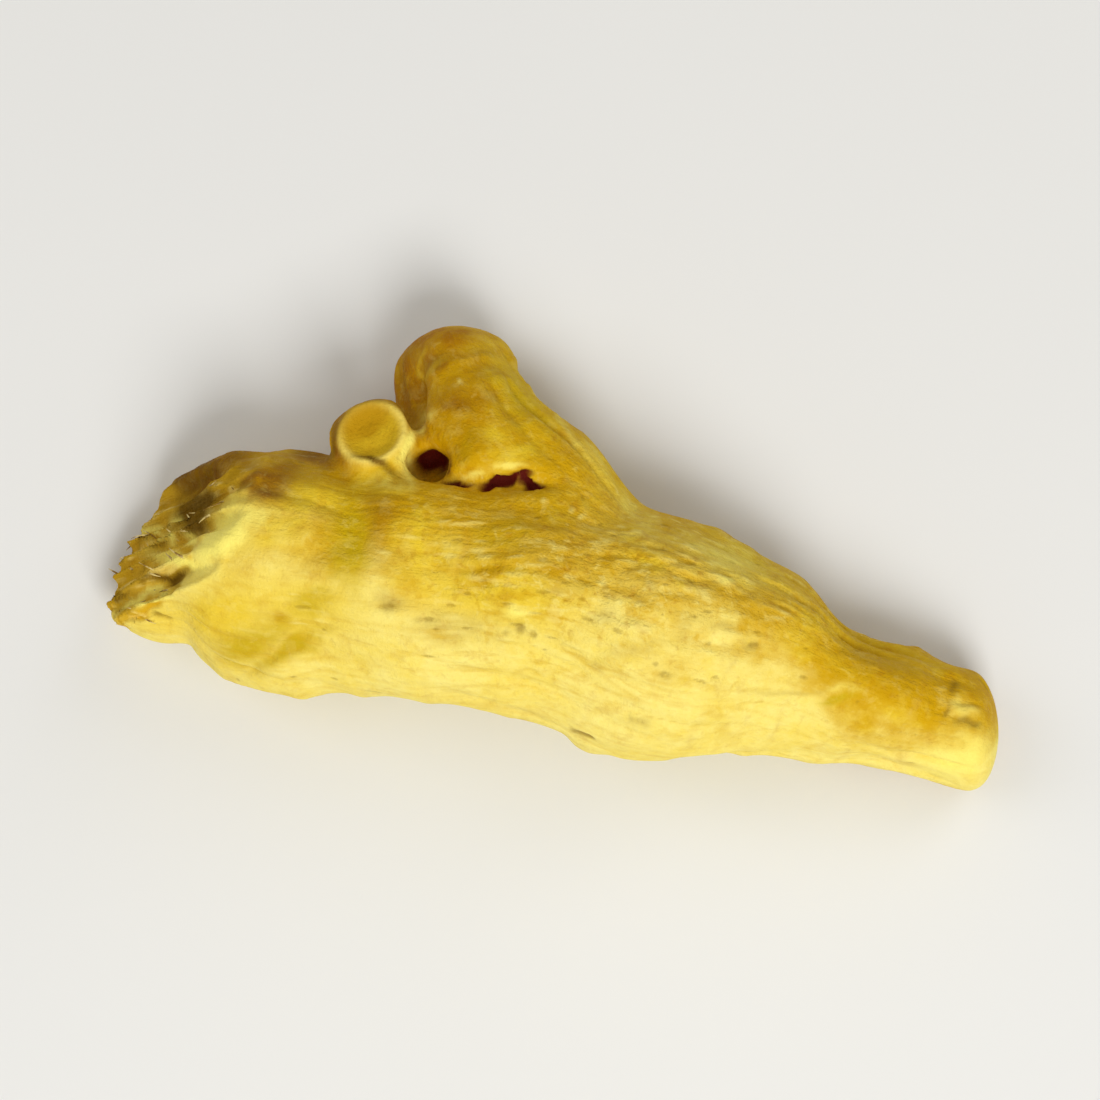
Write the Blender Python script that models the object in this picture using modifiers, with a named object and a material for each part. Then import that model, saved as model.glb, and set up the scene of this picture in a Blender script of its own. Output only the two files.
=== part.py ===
"""A dried turmeric root: one rhizome with a side finger, lying on a table.

+X runs along the body to its blunt tip, +Y the way the side finger grows, and +Z is up.
The origin is the middle of the bounding box's base, on the surface that the root lies on.
Every size is in millimetres until a mesh is written, and Blender's unit is the metre.
"""

import math
from typing import NamedTuple

import bmesh
import bpy
import numpy as np

MM = 0.001


class Station(NamedTuple):
    """One cross-section of a limb: its centre, and its half sizes across and up."""

    x: float
    y: float
    z: float
    half_width: float
    half_height: float


class Limb(NamedTuple):
    """A swelling of the root along a spine, with the lengths over which its two ends round off."""

    stations: tuple
    first_cap: float
    last_cap: float
    ridge: float = 0.0


class Cut(NamedTuple):
    """A plane where a limb broke off or was snapped: a point on it, and the way it faces."""

    point: tuple
    facing: tuple


class Hollow(NamedTuple):
    """A dent in the skin: its middle, how far it reaches each way, and how deep it is."""

    centre: tuple
    reach: tuple
    depth: float


# The body, from the broken end where it grew on its mother root, to the blunt tip.
BODY = Limb(
    stations=(
        Station(-36.4, -3.6, 6.0, 3.6, 4.0),
        Station(-29.0, -0.3, 7.2, 6.8, 6.6),
        Station(-21.6, -1.4, 8.0, 9.2, 8.3),
        Station(-11.0, -3.0, 9.2, 8.8, 8.2),
        Station(-1.0, -4.4, 9.5, 8.7, 8.4),
        Station(9.0, -7.4, 9.0, 9.2, 8.0),
        Station(16.6, -8.9, 7.5, 7.1, 6.8),
        Station(23.4, -11.3, 5.8, 5.1, 5.6),
        Station(29.6, -13.3, 4.8, 4.8, 5.0),
        Station(34.7, -13.8, 4.8, 4.9, 4.4),
    ),
    first_cap=5.0,
    last_cap=3.2,
    ridge=0.06,
)
# The side finger, which leaves the body's far shoulder and leans back towards the broken end.
FINGER = Limb(
    stations=(
        Station(3.0, -5.4, 8.8, 9.0, 7.4),
        Station(-0.9, 1.0, 8.8, 7.5, 7.2),
        Station(-4.9, 7.2, 7.6, 6.2, 6.7),
        Station(-7.5, 12.8, 5.9, 5.3, 5.9),
        Station(-9.0, 18.9, 5.5, 5.2, 4.8),
    ),
    first_cap=5.0,
    last_cap=4.4,
    ridge=0.04,
)
# A stub snapped off short, close beside the finger, with a round cut face.
STUB = Limb(
    stations=(
        Station(-10.6, 2.6, 8.6, 3.9, 3.9),
        Station(-12.9, 6.0, 10.4, 3.6, 3.6),
        Station(-15.0, 9.6, 14.0, 3.7, 3.7),
    ),
    first_cap=3.0,
    last_cap=1.6,
)
# The knuckle on the shoulder, where the finger's far side runs into the body.
KNUCKLE = Limb(
    stations=(
        Station(7.0, -2.8, 8.2, 4.6, 5.0),
        Station(12.0, -2.9, 7.8, 4.3, 4.6),
        Station(16.4, -4.6, 7.2, 3.2, 3.8),
    ),
    first_cap=3.5,
    last_cap=3.0,
)
# Buds that never grew out: one on the far flank, one low on the near flank, one at the tip.
FAR_BUD = Limb(
    stations=(Station(-22.4, 1.4, 8.4, 4.8, 3.8), Station(-21.8, 7.0, 9.0, 3.6, 2.8)),
    first_cap=3.0,
    last_cap=2.4,
)
NEAR_BUD = Limb(
    stations=(Station(3.2, -10.4, 6.4, 3.2, 3.0), Station(3.8, -15.6, 5.2, 1.9, 1.9)),
    first_cap=2.0,
    last_cap=1.8,
)
TIP_BUD = Limb(
    stations=(Station(29.4, -11.4, 6.4, 2.4, 2.6), Station(32.8, -10.3, 6.7, 1.8, 1.9)),
    first_cap=2.0,
    last_cap=1.7,
)
SWELLINGS = (KNUCKLE, FAR_BUD, NEAR_BUD, TIP_BUD)

# The broken end slopes back and up from the low near corner, and the stub is snapped across.
BROKEN_END = Cut(point=(-29.4, 0.4, 9.0), facing=(-0.74, 0.36, 0.57))
STUB_FACE = Cut(point=(-14.5, 8.6, 12.9), facing=(-0.20, 0.20, 0.96))
# The way the body's fibres run where it broke.
GRAIN = (-0.97, 0.24, 0.0)

# Places where the flesh shrank in: the crevice between finger, stub and body, and shallow dents.
HOLLOWS = (
    Hollow(centre=(-9.4, 5.6, 11.6), reach=(1.5, 1.0, 3.0), depth=3.0),
    Hollow(centre=(-6.4, 3.8, 12.6), reach=(2.2, 0.7, 2.0), depth=1.2),
    Hollow(centre=(-3.0, 3.5, 13.8), reach=(2.8, 0.9, 3.0), depth=2.4),
    Hollow(centre=(-10.8, 10.4, 9.6), reach=(0.8, 3.2, 4.0), depth=1.6),
    Hollow(centre=(-22.0, -7.4, 13.6), reach=(4.6, 3.0, 4.0), depth=0.9),
    Hollow(centre=(-13.6, -1.6, 17.0), reach=(1.8, 5.0, 4.0), depth=0.5),
    Hollow(centre=(24.0, -8.4, 10.6), reach=(4.0, 2.2, 4.0), depth=0.6),
)

# The rings where scale leaves grew: distances along the body and the finger from their first stations.
BODY_RINGS = (14.0, 19.4, 24.2, 29.6, 36.4, 43.5, 50.0, 56.4, 62.0, 66.4)
FINGER_RINGS = (13.0, 17.6, 21.2)
RING_HEIGHT = 0.3
RING_WIDTH = 1.1
RING_WANDER = 0.8

# The dried skin: soft lumps, lengthwise wrinkles, and torn fibres on the broken end. A length is that of
# one wave, and a stretch below 1 draws the waves out along the root.
LUMP_HEIGHT = 0.34
LUMP_LENGTH = 13.0
WRINKLE_HEIGHT = 0.4
WRINKLE_LENGTH = 4.6
WRINKLE_STRETCH = 0.2
FIBRE_HEIGHT = 0.8
FIBRE_LENGTH = 3.0
FIBRE_STRETCH = 0.16
# Wrinkles are worked out as if each limb were a cylinder of this radius.
GIRTH = 8.0
# Over this distance out of a limb's skin, its wrinkles give way to its neighbour's.
BLEND = 1.2
# The depth below a broken face over which its own roughness fades, and how far round the middle of the
# stub's face it reaches, seen from above, with the width of the edge over which it ends.
BROKEN_FADE = 0.8
STUB_FADE = 0.6
STUB_REACH = 4.6
STUB_EDGE = 1.4

# Each limb's sphere, before the limbs are fused into one skin of small cubes and rounded.
LIMB_SIDES = 56
LIMB_RINGS = 96
SPINE_PLACES = 200
FUSE_VOXEL = 0.55
FUSE_ROUNDING = 16
TRIANGLES = 10400
# How far up the lowest places are cut flat, so that the root lies still.
REST_CUT = 0.35

SKIN_COLOUR = (0.72, 0.46, 0.045, 1.0)
SKIN_ROUGHNESS = 0.55


def clear_scene():
    """Removes whatever the scene held."""
    for item in list(bpy.data.objects):
        bpy.data.objects.remove(item)


def along(rows, share):
    """Rows of numbers read along a Catmull-Rom curve, at shares of its length from 0 to 1."""
    rows = np.asarray(rows, float)
    rows = np.vstack([2 * rows[0] - rows[1], rows, 2 * rows[-1] - rows[-2]])
    last = len(rows) - 4
    place = np.clip(share, 0.0, 1.0) * (last + 1)
    start = np.minimum(place.astype(int), last)
    f = (place - start)[:, None]
    a, b, c, d = (rows[start + step] for step in range(4))
    bend = 2 * a - 5 * b + 4 * c - d
    twist = 3 * b - 3 * c + d - a
    return 0.5 * (2 * b + (c - a) * f + bend * f**2 + twist * f**3)


def unit(vectors):
    """The vectors at length 1."""
    return vectors / np.linalg.norm(vectors, axis=-1, keepdims=True)


def spine_of(limb, share):
    """A limb's centres, half sizes, and its directions forwards, across and up, at shares of its length."""
    rows = along(limb.stations, share)
    step = 0.002
    ahead = along(limb.stations, share + step) - along(limb.stations, share - step)
    forwards = unit(ahead[:, :3])
    across = unit(np.cross((0.0, 0.0, 1.0), forwards))
    return rows[:, :3], rows[:, 3:], forwards, across, np.cross(forwards, across)


def distances_along(centres):
    """How far along the spine each of its centres is."""
    steps = np.linalg.norm(np.diff(centres, axis=0), axis=1)
    return np.concatenate([[0.0], np.cumsum(steps)])


def add_limb(limb, cuts=()):
    """A bmesh of one limb: a sphere whose rings are carried along the spine, cut where it broke."""
    shape = bmesh.new()
    bmesh.ops.create_uvsphere(shape, u_segments=LIMB_SIDES, v_segments=LIMB_RINGS, radius=1.0)
    ball = np.array([vertex.co for vertex in shape.verts])
    share = (1 - ball[:, 2]) / 2
    centres, halves, _, across, up = spine_of(limb, share)
    whole = distances_along(spine_of(limb, np.linspace(0, 1, SPINE_PLACES))[0])[-1]
    from_first = np.clip(share * whole / limb.first_cap, 0, 1)
    from_last = np.clip((1 - share) * whole / limb.last_cap, 0, 1)
    rounding = np.sqrt((1 - (1 - from_first) ** 2) * (1 - (1 - from_last) ** 2))
    angle = np.arctan2(ball[:, 1], ball[:, 0])
    girth = rounding * (1 + limb.ridge * np.cos(3 * (angle - math.pi / 2)))
    points = (
        centres
        + across * (np.cos(angle) * halves[:, 0] * girth)[:, None]
        + up * (np.sin(angle) * halves[:, 1] * girth)[:, None]
    )
    for vertex, point in zip(shape.verts, points * MM):
        vertex.co = point
    for cut in cuts:
        slice_off(shape, cut.point, cut.facing)
    bmesh.ops.recalc_face_normals(shape, faces=shape.faces)
    return shape


def slice_off(shape, point, facing):
    """Cuts away what lies beyond a plane, and closes the opening with a flat face."""
    bmesh.ops.bisect_plane(
        shape,
        geom=shape.verts[:] + shape.edges[:] + shape.faces[:],
        dist=1e-7,
        plane_co=np.array(point) * MM,
        plane_no=facing,
        clear_outer=True,
    )
    rim = [edge for edge in shape.edges if edge.is_boundary]
    bmesh.ops.holes_fill(shape, edges=rim)


def mesh_from(shapes, name):
    """One mesh that holds several bmeshes, which are freed."""
    together = bmesh.new()
    for shape in shapes:
        piece = bpy.data.meshes.new(name)
        shape.to_mesh(piece)
        shape.free()
        together.from_mesh(piece)
        bpy.data.meshes.remove(piece)
    mesh = bpy.data.meshes.new(name)
    together.to_mesh(mesh)
    together.free()
    return mesh


def evaluated(mesh, modifiers):
    """A new mesh: the given one after a stack of modifiers, each a type and its settings."""
    holder = bpy.data.objects.new("holder", mesh)
    bpy.context.scene.collection.objects.link(holder)
    for kind, settings in modifiers:
        modifier = holder.modifiers.new(kind, kind)
        for setting, value in settings.items():
            setattr(modifier, setting, value)
    graph = bpy.context.evaluated_depsgraph_get()
    made = bpy.data.meshes.new_from_object(holder.evaluated_get(graph))
    bpy.data.objects.remove(holder)
    return made


def read(mesh, what):
    """A mesh's vertex coordinates in millimetres, or its vertex normals."""
    numbers = np.empty(len(mesh.vertices) * 3)
    mesh.vertices.foreach_get(what, numbers)
    return numbers.reshape(-1, 3) / (MM if what == "co" else 1)


def waves(points, length, seed, count=24):
    """Smooth noise of spread 1: sine waves of about one length, in random directions, added up."""
    draw = np.random.default_rng(seed)
    ways = unit(draw.normal(size=(count, 3))) * draw.uniform(0.7, 1.4, (count, 1))
    starts = draw.uniform(0, 2 * math.pi, count)
    phases = points @ (ways.T * 2 * math.pi / length) + starts
    return np.sin(phases).sum(axis=1) * math.sqrt(2 / count)


def limb_place(points, limb):
    """Where points are on a limb: distance along it, angle round it, and distance out of its skin."""
    centres, halves, forwards, across, up = spine_of(limb, np.linspace(0, 1, SPINE_PLACES))
    k = ((centres**2).sum(axis=1) - 2 * points @ centres.T).argmin(axis=1)
    offset = points - centres[k]
    ahead = (offset * forwards[k]).sum(axis=1)
    sideways = (offset * across[k]).sum(axis=1)
    upwards = (offset * up[k]).sum(axis=1)
    angle = np.arctan2(upwards / halves[k, 1], sideways / halves[k, 0])
    reach = np.hypot(upwards / halves[k, 1], sideways / halves[k, 0])
    beyond = np.where((k == 0) | (k == len(centres) - 1), np.abs(ahead), 0)
    out = (reach - 1) * halves[k].mean(axis=1) + beyond
    return distances_along(centres)[k] + ahead, angle, out


def limb_relief(place, angle, rings, seed):
    """The height of a limb's skin: lengthwise wrinkles, and rings where scale leaves grew."""
    round_it = np.stack([GIRTH * np.cos(angle), GIRTH * np.sin(angle), place], axis=1)
    stretched = round_it * (1, 1, WRINKLE_STRETCH)
    furrows = np.minimum(np.abs(waves(stretched, WRINKLE_LENGTH, seed)), 1.2)
    strength = np.clip(0.55 + 0.45 * waves(round_it, 2 * GIRTH, seed + 1), 0.1, 1.2)
    height = WRINKLE_HEIGHT * strength * (furrows - 0.6)
    wandering = place + RING_WANDER * waves(round_it * (1, 1, 0.3), 2 * GIRTH, seed + 2)
    fading = np.clip(0.6 + 0.4 * waves(round_it * (1, 1, 0.2), GIRTH, seed + 3), 0, 1.2)
    for ring in rings:
        height += RING_HEIGHT * fading * np.exp(-(((wandering - ring) / RING_WIDTH) ** 2))
    return height


def skin_relief(points):
    """The height of the whole skin over its smooth form, each limb's own, blended where limbs meet."""
    limbs = ((BODY, BODY_RINGS, 10), (FINGER, FINGER_RINGS, 20), (STUB, (), 30))
    heights, outs = [], []
    for limb, rings, seed in limbs:
        place, angle, out = limb_place(points, limb)
        heights.append(limb_relief(place, angle, rings, seed))
        outs.append(out)
    weights = np.exp((np.min(outs, axis=0) - outs) / BLEND)
    blended = (np.array(heights) * weights).sum(axis=0) / weights.sum(axis=0)
    return blended + LUMP_HEIGHT * waves(points, LUMP_LENGTH, 40)


def nearness(points, cut, fade):
    """How much each point belongs to a broken face: 1 on its plane, and 0 from the fade's depth down."""
    depth = ((np.array(cut.point) - points) * unit(np.array(cut.facing))).sum(axis=1)
    return np.clip(1 - depth / fade, 0, 1)


def fibre_relief(points, cut):
    """The torn fibres of the broken end: ridges along the grain, as far as the sloping face lets them."""
    facing = unit(np.array(cut.facing))
    grain = unit(GRAIN - (facing @ GRAIN) * facing)
    across = np.cross(facing, grain)
    spread = np.stack([points @ grain * FIBRE_STRETCH, points @ across, points @ facing], axis=1)
    return FIBRE_HEIGHT * (0.6 - np.minimum(np.abs(waves(spread, FIBRE_LENGTH, 50)), 1.4))


def hollow_depth(points):
    """How deep the dents are at each point: each one a soft bell, deepest in its middle."""
    depth = np.zeros(len(points))
    for hollow in HOLLOWS:
        away = ((points - hollow.centre) / hollow.reach) ** 2
        depth += hollow.depth * np.exp(-away.sum(axis=1))
    return depth


def weather(mesh):
    """Moves a smooth mesh's vertices out and in along their normals to give it its dried skin."""
    points, normals = read(mesh, "co"), read(mesh, "normal")
    broken = nearness(points, BROKEN_END, BROKEN_FADE)
    from_stub = np.linalg.norm((points - STUB_FACE.point)[:, :2], axis=1)
    round_stub = np.clip((STUB_REACH - from_stub) / STUB_EDGE, 0, 1)
    snapped = nearness(points, STUB_FACE, STUB_FADE) * round_stub
    height = skin_relief(points) * (1 - np.maximum(broken, snapped))
    height += fibre_relief(points, BROKEN_END) * broken
    moved = points + normals * (height - hollow_depth(points))[:, None]
    mesh.vertices.foreach_set("co", (moved * MM).ravel())
    mesh.update()


def settle(mesh):
    """Rests the mesh on its three lowest places, cut flat, and moves its origin under its middle."""
    shape = bmesh.new()
    shape.from_mesh(mesh)
    slice_off(shape, (0, 0, REST_CUT), (0, 0, -1))
    bmesh.ops.triangulate(shape, faces=shape.faces)
    corners = np.array([vertex.co for vertex in shape.verts])
    middle = (corners.min(axis=0) + corners.max(axis=0)) / 2
    bmesh.ops.translate(shape, verts=shape.verts, vec=(-middle[0], -middle[1], -REST_CUT * MM))
    shape.to_mesh(mesh)
    shape.free()


def skin_material():
    """Dried turmeric's skin: mustard yellow, with a faint waxy sheen."""
    material = bpy.data.materials.new("turmeric_skin")
    material.use_nodes = True
    shader = material.node_tree.nodes["Principled BSDF"]
    shader.inputs["Base Color"].default_value = SKIN_COLOUR
    shader.inputs["Roughness"].default_value = SKIN_ROUGHNESS
    shader.inputs["Metallic"].default_value = 0.0
    return material


def build_root():
    """The whole rhizome as one closed object."""
    limbs = [add_limb(BODY, (BROKEN_END,)), add_limb(FINGER), add_limb(STUB, (STUB_FACE,))]
    limbs += [add_limb(swelling) for swelling in SWELLINGS]
    fused = evaluated(
        mesh_from(limbs, "limbs"),
        (
            ("REMESH", {"mode": "VOXEL", "voxel_size": FUSE_VOXEL * MM}),
            ("SMOOTH", {"factor": 0.5, "iterations": FUSE_ROUNDING}),
        ),
    )
    weather(fused)
    ratio = TRIANGLES / sum(len(face.vertices) - 2 for face in fused.polygons)
    root = evaluated(fused, (("DECIMATE", {"ratio": ratio}),))
    settle(root)
    root.name = "turmeric_root"
    root.shade_smooth()
    root.materials.append(skin_material())
    collection = bpy.data.collections.new("turmeric root")
    bpy.context.scene.collection.children.link(collection)
    collection.objects.link(bpy.data.objects.new("turmeric_root", root))


clear_scene()
build_root()
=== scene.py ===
"""The looks of a dried turmeric root that lies on a pale table, seen from above.

The root is one skin: smooth limbs are carried along their spines, fused, and given their dried relief,
all in the same design frame as the frame's solid, in millimetres. The skin is then set onto the solid's
box and takes its place. What the relief knows of the skin, such as its furrows, pits and broken faces,
goes into attributes that colour it.
"""

from __future__ import annotations

import logging
import math
from collections.abc import Sequence
from dataclasses import dataclass, field
from enum import Enum
from typing import Any, NamedTuple

import bmesh
import bpy
import numpy as np
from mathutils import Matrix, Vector

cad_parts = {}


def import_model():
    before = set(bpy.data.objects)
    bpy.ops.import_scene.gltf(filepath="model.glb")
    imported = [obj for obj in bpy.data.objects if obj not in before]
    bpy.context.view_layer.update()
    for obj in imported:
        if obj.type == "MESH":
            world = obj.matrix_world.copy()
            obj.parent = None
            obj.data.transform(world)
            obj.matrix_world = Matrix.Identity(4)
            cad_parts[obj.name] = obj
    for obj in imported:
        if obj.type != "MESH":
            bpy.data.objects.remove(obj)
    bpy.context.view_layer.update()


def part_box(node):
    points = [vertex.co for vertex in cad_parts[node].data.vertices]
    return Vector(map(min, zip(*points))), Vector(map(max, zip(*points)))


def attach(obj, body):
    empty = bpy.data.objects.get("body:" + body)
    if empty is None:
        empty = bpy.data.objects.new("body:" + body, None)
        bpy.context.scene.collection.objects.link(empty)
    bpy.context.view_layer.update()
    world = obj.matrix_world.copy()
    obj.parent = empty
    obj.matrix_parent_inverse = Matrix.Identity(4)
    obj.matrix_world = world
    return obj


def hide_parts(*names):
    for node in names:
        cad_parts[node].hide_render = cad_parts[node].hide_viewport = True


LOG = logging.getLogger("turmeric_root")

MM = 0.001
NODE = "turmeric_root"
BODY_NAME = "root"
# The photograph's angle above the horizon, in degrees, and the height that its middle shows.
SEEN_FROM = 77.0
MIDDLE_HEIGHT = 5.5

Array = np.ndarray
Colour = tuple[float, float, float, float]


class Mark(Enum):
    """The attributes that the skin's material reads, from 0 to 1. A nub goes down to -1 in a pit."""

    FURROW = "furrow"
    RIDGE = "ridge"
    RING = "ring"
    PIT = "pit"
    SPECK = "speck"
    SCAR = "scar"
    STREAK = "streak"
    STUB_FACE = "stub_face"
    STUB_RIM = "stub_rim"
    # Where light is painted on the stub's face and rim, and where shade is painted on the body's far side.
    LIT_SIDE = "lit_side"
    SHADE_SIDE = "shade_side"
    FINGER = "finger"
    BUD = "bud"
    BAND = "band"
    NUB = "nub"
    LINED = "lined"
    PALE = "pale"
    GOLD = "gold"
    OCHRE = "ochre"
    OLIVE = "olive"
    BROWN = "brown"
    DULL = "dull"
    DARK = "dark"
    HOLE = "hole"


class Place(Enum):
    """The attributes that say where a point is on a limb, or along the torn grain, in millimetres."""

    ALONG_BODY = "along_body"
    ALONG_FINGER = "along_finger"
    ALONG_GRAIN = "along_grain"


class Station(NamedTuple):
    """One cross-section of a limb: its centre, and its half sizes across and up."""

    x: float
    y: float
    z: float
    half_width: float
    half_height: float


class Cut(NamedTuple):
    """A plane where a limb broke off or was snapped: a point on it, and the way it faces."""

    point: tuple[float, float, float]
    facing: tuple[float, float, float]


class Hollow(NamedTuple):
    """A dent in the skin: its middle, how far it reaches each way, and how deep it is."""

    centre: tuple[float, float, float]
    reach: tuple[float, float, float]
    depth: float


class SpinePlaces(NamedTuple):
    """Places along a limb's spine: centres, half sizes, and the directions forwards, across and up."""

    centres: Array
    halves: Array
    forwards: Array
    across: Array
    up: Array


class Ground(NamedTuple):
    """The skin that the fine relief starts from: smooth, and with its large relief, in millimetres."""

    smooth: Array
    points: Array
    normals: Array
    places: Sequence[SkinPlaces]


class SkinPlaces(NamedTuple):
    """Where points are on a limb: along it, round it, out of its skin, and its direction there."""

    along: Array
    angle: Array
    out: Array
    forwards: Array


def unit(vectors: Array) -> Array:
    """Returns the vectors at length 1."""
    return vectors / np.linalg.norm(vectors, axis=-1, keepdims=True)


def smooth_step(low: float, high: float, values: Array) -> Array:
    """Rises from 0 at low to 1 at high along a cubic that starts and ends level.

    Args:
        low: The value that gives 0. It may be above high, and the step then falls.
        high: The value that gives 1.
        values: The values to look up.

    Returns:
        The step at each value.
    """
    share = np.clip((values - low) / (high - low), 0.0, 1.0)
    return share * share * (3 - 2 * share)


def bell(distance: Array, width: float) -> Array:
    """Returns a bell curve: 1 at distance 0, and exp(-1) at the width."""
    return np.exp(-((distance / width) ** 2))


def waves(points: Array, length: float, seed: int, count: int = 24) -> Array:
    """Smooth noise of spread 1: sine waves of about one length, in random directions, added up.

    Args:
        points: The points to read it at, one a row.
        length: The length of one wave, in the points' own unit.
        seed: The seed of the random directions and starts.
        count: How many waves are added.

    Returns:
        The noise at each point.
    """
    draw = np.random.default_rng(seed)
    ways = unit(draw.normal(size=(count, 3))) * draw.uniform(0.7, 1.4, (count, 1))
    starts = draw.uniform(0, 2 * math.pi, count)
    phases = points @ (ways.T * 2 * math.pi / length) + starts
    return np.sin(phases).sum(axis=1) * math.sqrt(2 / count)


def seen(points: Array) -> Array:
    """Finds points in the photograph's picture plane.

    Args:
        points: Points in the design frame, in millimetres.

    Returns:
        How far each point is across and up from the picture's middle.
    """
    tilt = math.radians(SEEN_FROM)
    up = points[:, 1] * math.sin(tilt) + (points[:, 2] - MIDDLE_HEIGHT) * math.cos(tilt)
    return np.stack([points[:, 0], up], axis=1)


def distances_along(centres: Array) -> Array:
    """Returns how far along a line of points each of them is."""
    steps = np.linalg.norm(np.diff(centres, axis=0), axis=1)
    return np.concatenate([[0.0], np.cumsum(steps)])


@dataclass(frozen=True)
class Limb:
    """A swelling of the root along a spine, rounded off at its two ends.

    Attributes:
        stations: The cross-sections that the spine passes through.
        first_cap: The length over which the first end rounds off, in millimetres.
        last_cap: The same for the last end.
        ridge: How much three soft edges stand out of the oval section, as a share of its size.
        rings: Where scale leaves grew, as distances along the spine.
        seed: The seed of this limb's own wrinkles.
    """

    stations: tuple[Station, ...]
    first_cap: float
    last_cap: float
    ridge: float = 0.0
    rings: tuple[float, ...] = ()
    seed: int = 0

    SIDES = 72
    RINGS = 120
    PLACES = 200
    STEP = 0.002
    PLAIN_END = (-0.5, 4.5)

    def read(self, share: Array) -> Array:
        """Reads the stations along a Catmull-Rom curve.

        Args:
            share: Shares of the spine, from 0 to 1.

        Returns:
            One row of station numbers for each share.
        """
        rows = np.asarray(self.stations, float)
        rows = np.vstack([2 * rows[0] - rows[1], rows, 2 * rows[-1] - rows[-2]])
        last = len(rows) - 4
        place = np.clip(share, 0.0, 1.0) * (last + 1)
        start = np.minimum(place.astype(int), last)
        f = (place - start)[:, None]
        a, b, c, d = (rows[start + step] for step in range(4))
        bend = 2 * a - 5 * b + 4 * c - d
        twist = 3 * b - 3 * c + d - a
        return 0.5 * (2 * b + (c - a) * f + bend * f**2 + twist * f**3)

    def spine(self, share: Array) -> SpinePlaces:
        """Works out the spine.

        Args:
            share: Shares of its length, from 0 to 1.

        Returns:
            Its centres, half sizes and directions at those shares.
        """
        rows = self.read(share)
        ahead = self.read(share + self.STEP) - self.read(share - self.STEP)
        forwards = unit(ahead[:, :3])
        across = unit(np.cross((0.0, 0.0, 1.0), forwards))
        return SpinePlaces(rows[:, :3], rows[:, 3:], forwards, across, np.cross(forwards, across))

    def surface(self) -> bmesh.types.BMesh:
        """Carries an oval section along the spine, as a closed mesh.

        The skin is a function of two parameters: v from 0 to 1 along the spine, where the place is
        (1 - cos(pi v)) / 2 so that rings crowd towards the ends, and the angle round it. The section
        is an oval with three soft edges, shrunk along a quarter circle over each cap.

        Returns:
            The limb's mesh, in millimetres.
        """
        v = np.linspace(0, 1, self.RINGS + 1)
        share = (1 - np.cos(math.pi * v)) / 2
        places = self.spine(share)
        whole = distances_along(self.spine(np.linspace(0, 1, self.PLACES)).centres)[-1]
        from_first = np.clip(share * whole / self.first_cap, 0, 1)
        from_last = np.clip((1 - share) * whole / self.last_cap, 0, 1)
        rounding = np.sqrt((1 - (1 - from_first) ** 2) * (1 - (1 - from_last) ** 2))
        angle = np.linspace(0, 2 * math.pi, self.SIDES, endpoint=False)
        girth = rounding[:, None] * (1 + self.ridge * np.cos(3 * (angle - math.pi / 2)))
        sideways = np.cos(angle) * places.halves[:, :1] * girth
        upwards = np.sin(angle) * places.halves[:, 1:] * girth
        grid = (
            places.centres[:, None]
            + places.across[:, None] * sideways[..., None]
            + places.up[:, None] * upwards[..., None]
        )
        return closed_grid(grid)

    def plain_end(self, along: Array) -> Array:
        """Returns how much the wrinkles show: less and less over the last end's cap, which is plain."""
        whole = distances_along(self.spine(np.linspace(0, 1, self.PLACES)).centres)[-1]
        return smooth_step(*self.PLAIN_END, whole - along)

    def skin_places(self, points: Array) -> SkinPlaces:
        """Finds points on this limb by the spine's nearest centre.

        Args:
            points: Points near the limb, in millimetres.

        Returns:
            Their places on the limb.
        """
        spine = self.spine(np.linspace(0, 1, self.PLACES))
        k = ((spine.centres**2).sum(axis=1) - 2 * points @ spine.centres.T).argmin(axis=1)
        offset = points - spine.centres[k]
        halves = spine.halves[k]
        ahead = (offset * spine.forwards[k]).sum(axis=1)
        sideways = (offset * spine.across[k]).sum(axis=1) / halves[:, 0]
        upwards = (offset * spine.up[k]).sum(axis=1) / halves[:, 1]
        at_end = (k == 0) | (k == self.PLACES - 1)
        out = (np.hypot(upwards, sideways) - 1) * halves.mean(axis=1)
        out += np.where(at_end, np.abs(ahead), 0)
        along = distances_along(spine.centres)[k] + ahead
        return SkinPlaces(along, np.arctan2(upwards, sideways), out, spine.forwards[k])


def closed_grid(grid: Array) -> bmesh.types.BMesh:
    """Makes a closed mesh of a grid whose rows are rings, and whose first and last rings are points.

    Args:
        grid: Points by ring and side, with their coordinates last.

    Returns:
        The mesh, with its faces pointing out.
    """
    rings, sides = grid.shape[:2]
    middle = grid[1:-1].reshape(-1, 3)
    points = np.vstack([grid[0, :1], middle, grid[-1, :1]])
    row = np.arange(rings - 3)[:, None] * sides + 1
    side = np.arange(sides)
    after = (side + 1) % sides
    quads = np.stack([row + side, row + after, row + sides + after, row + sides + side], axis=-1)
    last_row = 1 + (rings - 3) * sides
    first_fan = np.stack([np.zeros(sides, int), 1 + after, 1 + side], axis=-1)
    last_fan = np.stack([np.full(sides, len(points) - 1), last_row + side, last_row + after], axis=-1)
    faces = quads.reshape(-1, 4).tolist() + first_fan.tolist() + last_fan.tolist()
    mesh = bpy.data.meshes.new("grid")
    mesh.from_pydata(points.tolist(), [], faces)
    shape = bmesh.new()
    shape.from_mesh(mesh)
    bpy.data.meshes.remove(mesh)
    bmesh.ops.recalc_face_normals(shape, faces=shape.faces)
    return shape


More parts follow.
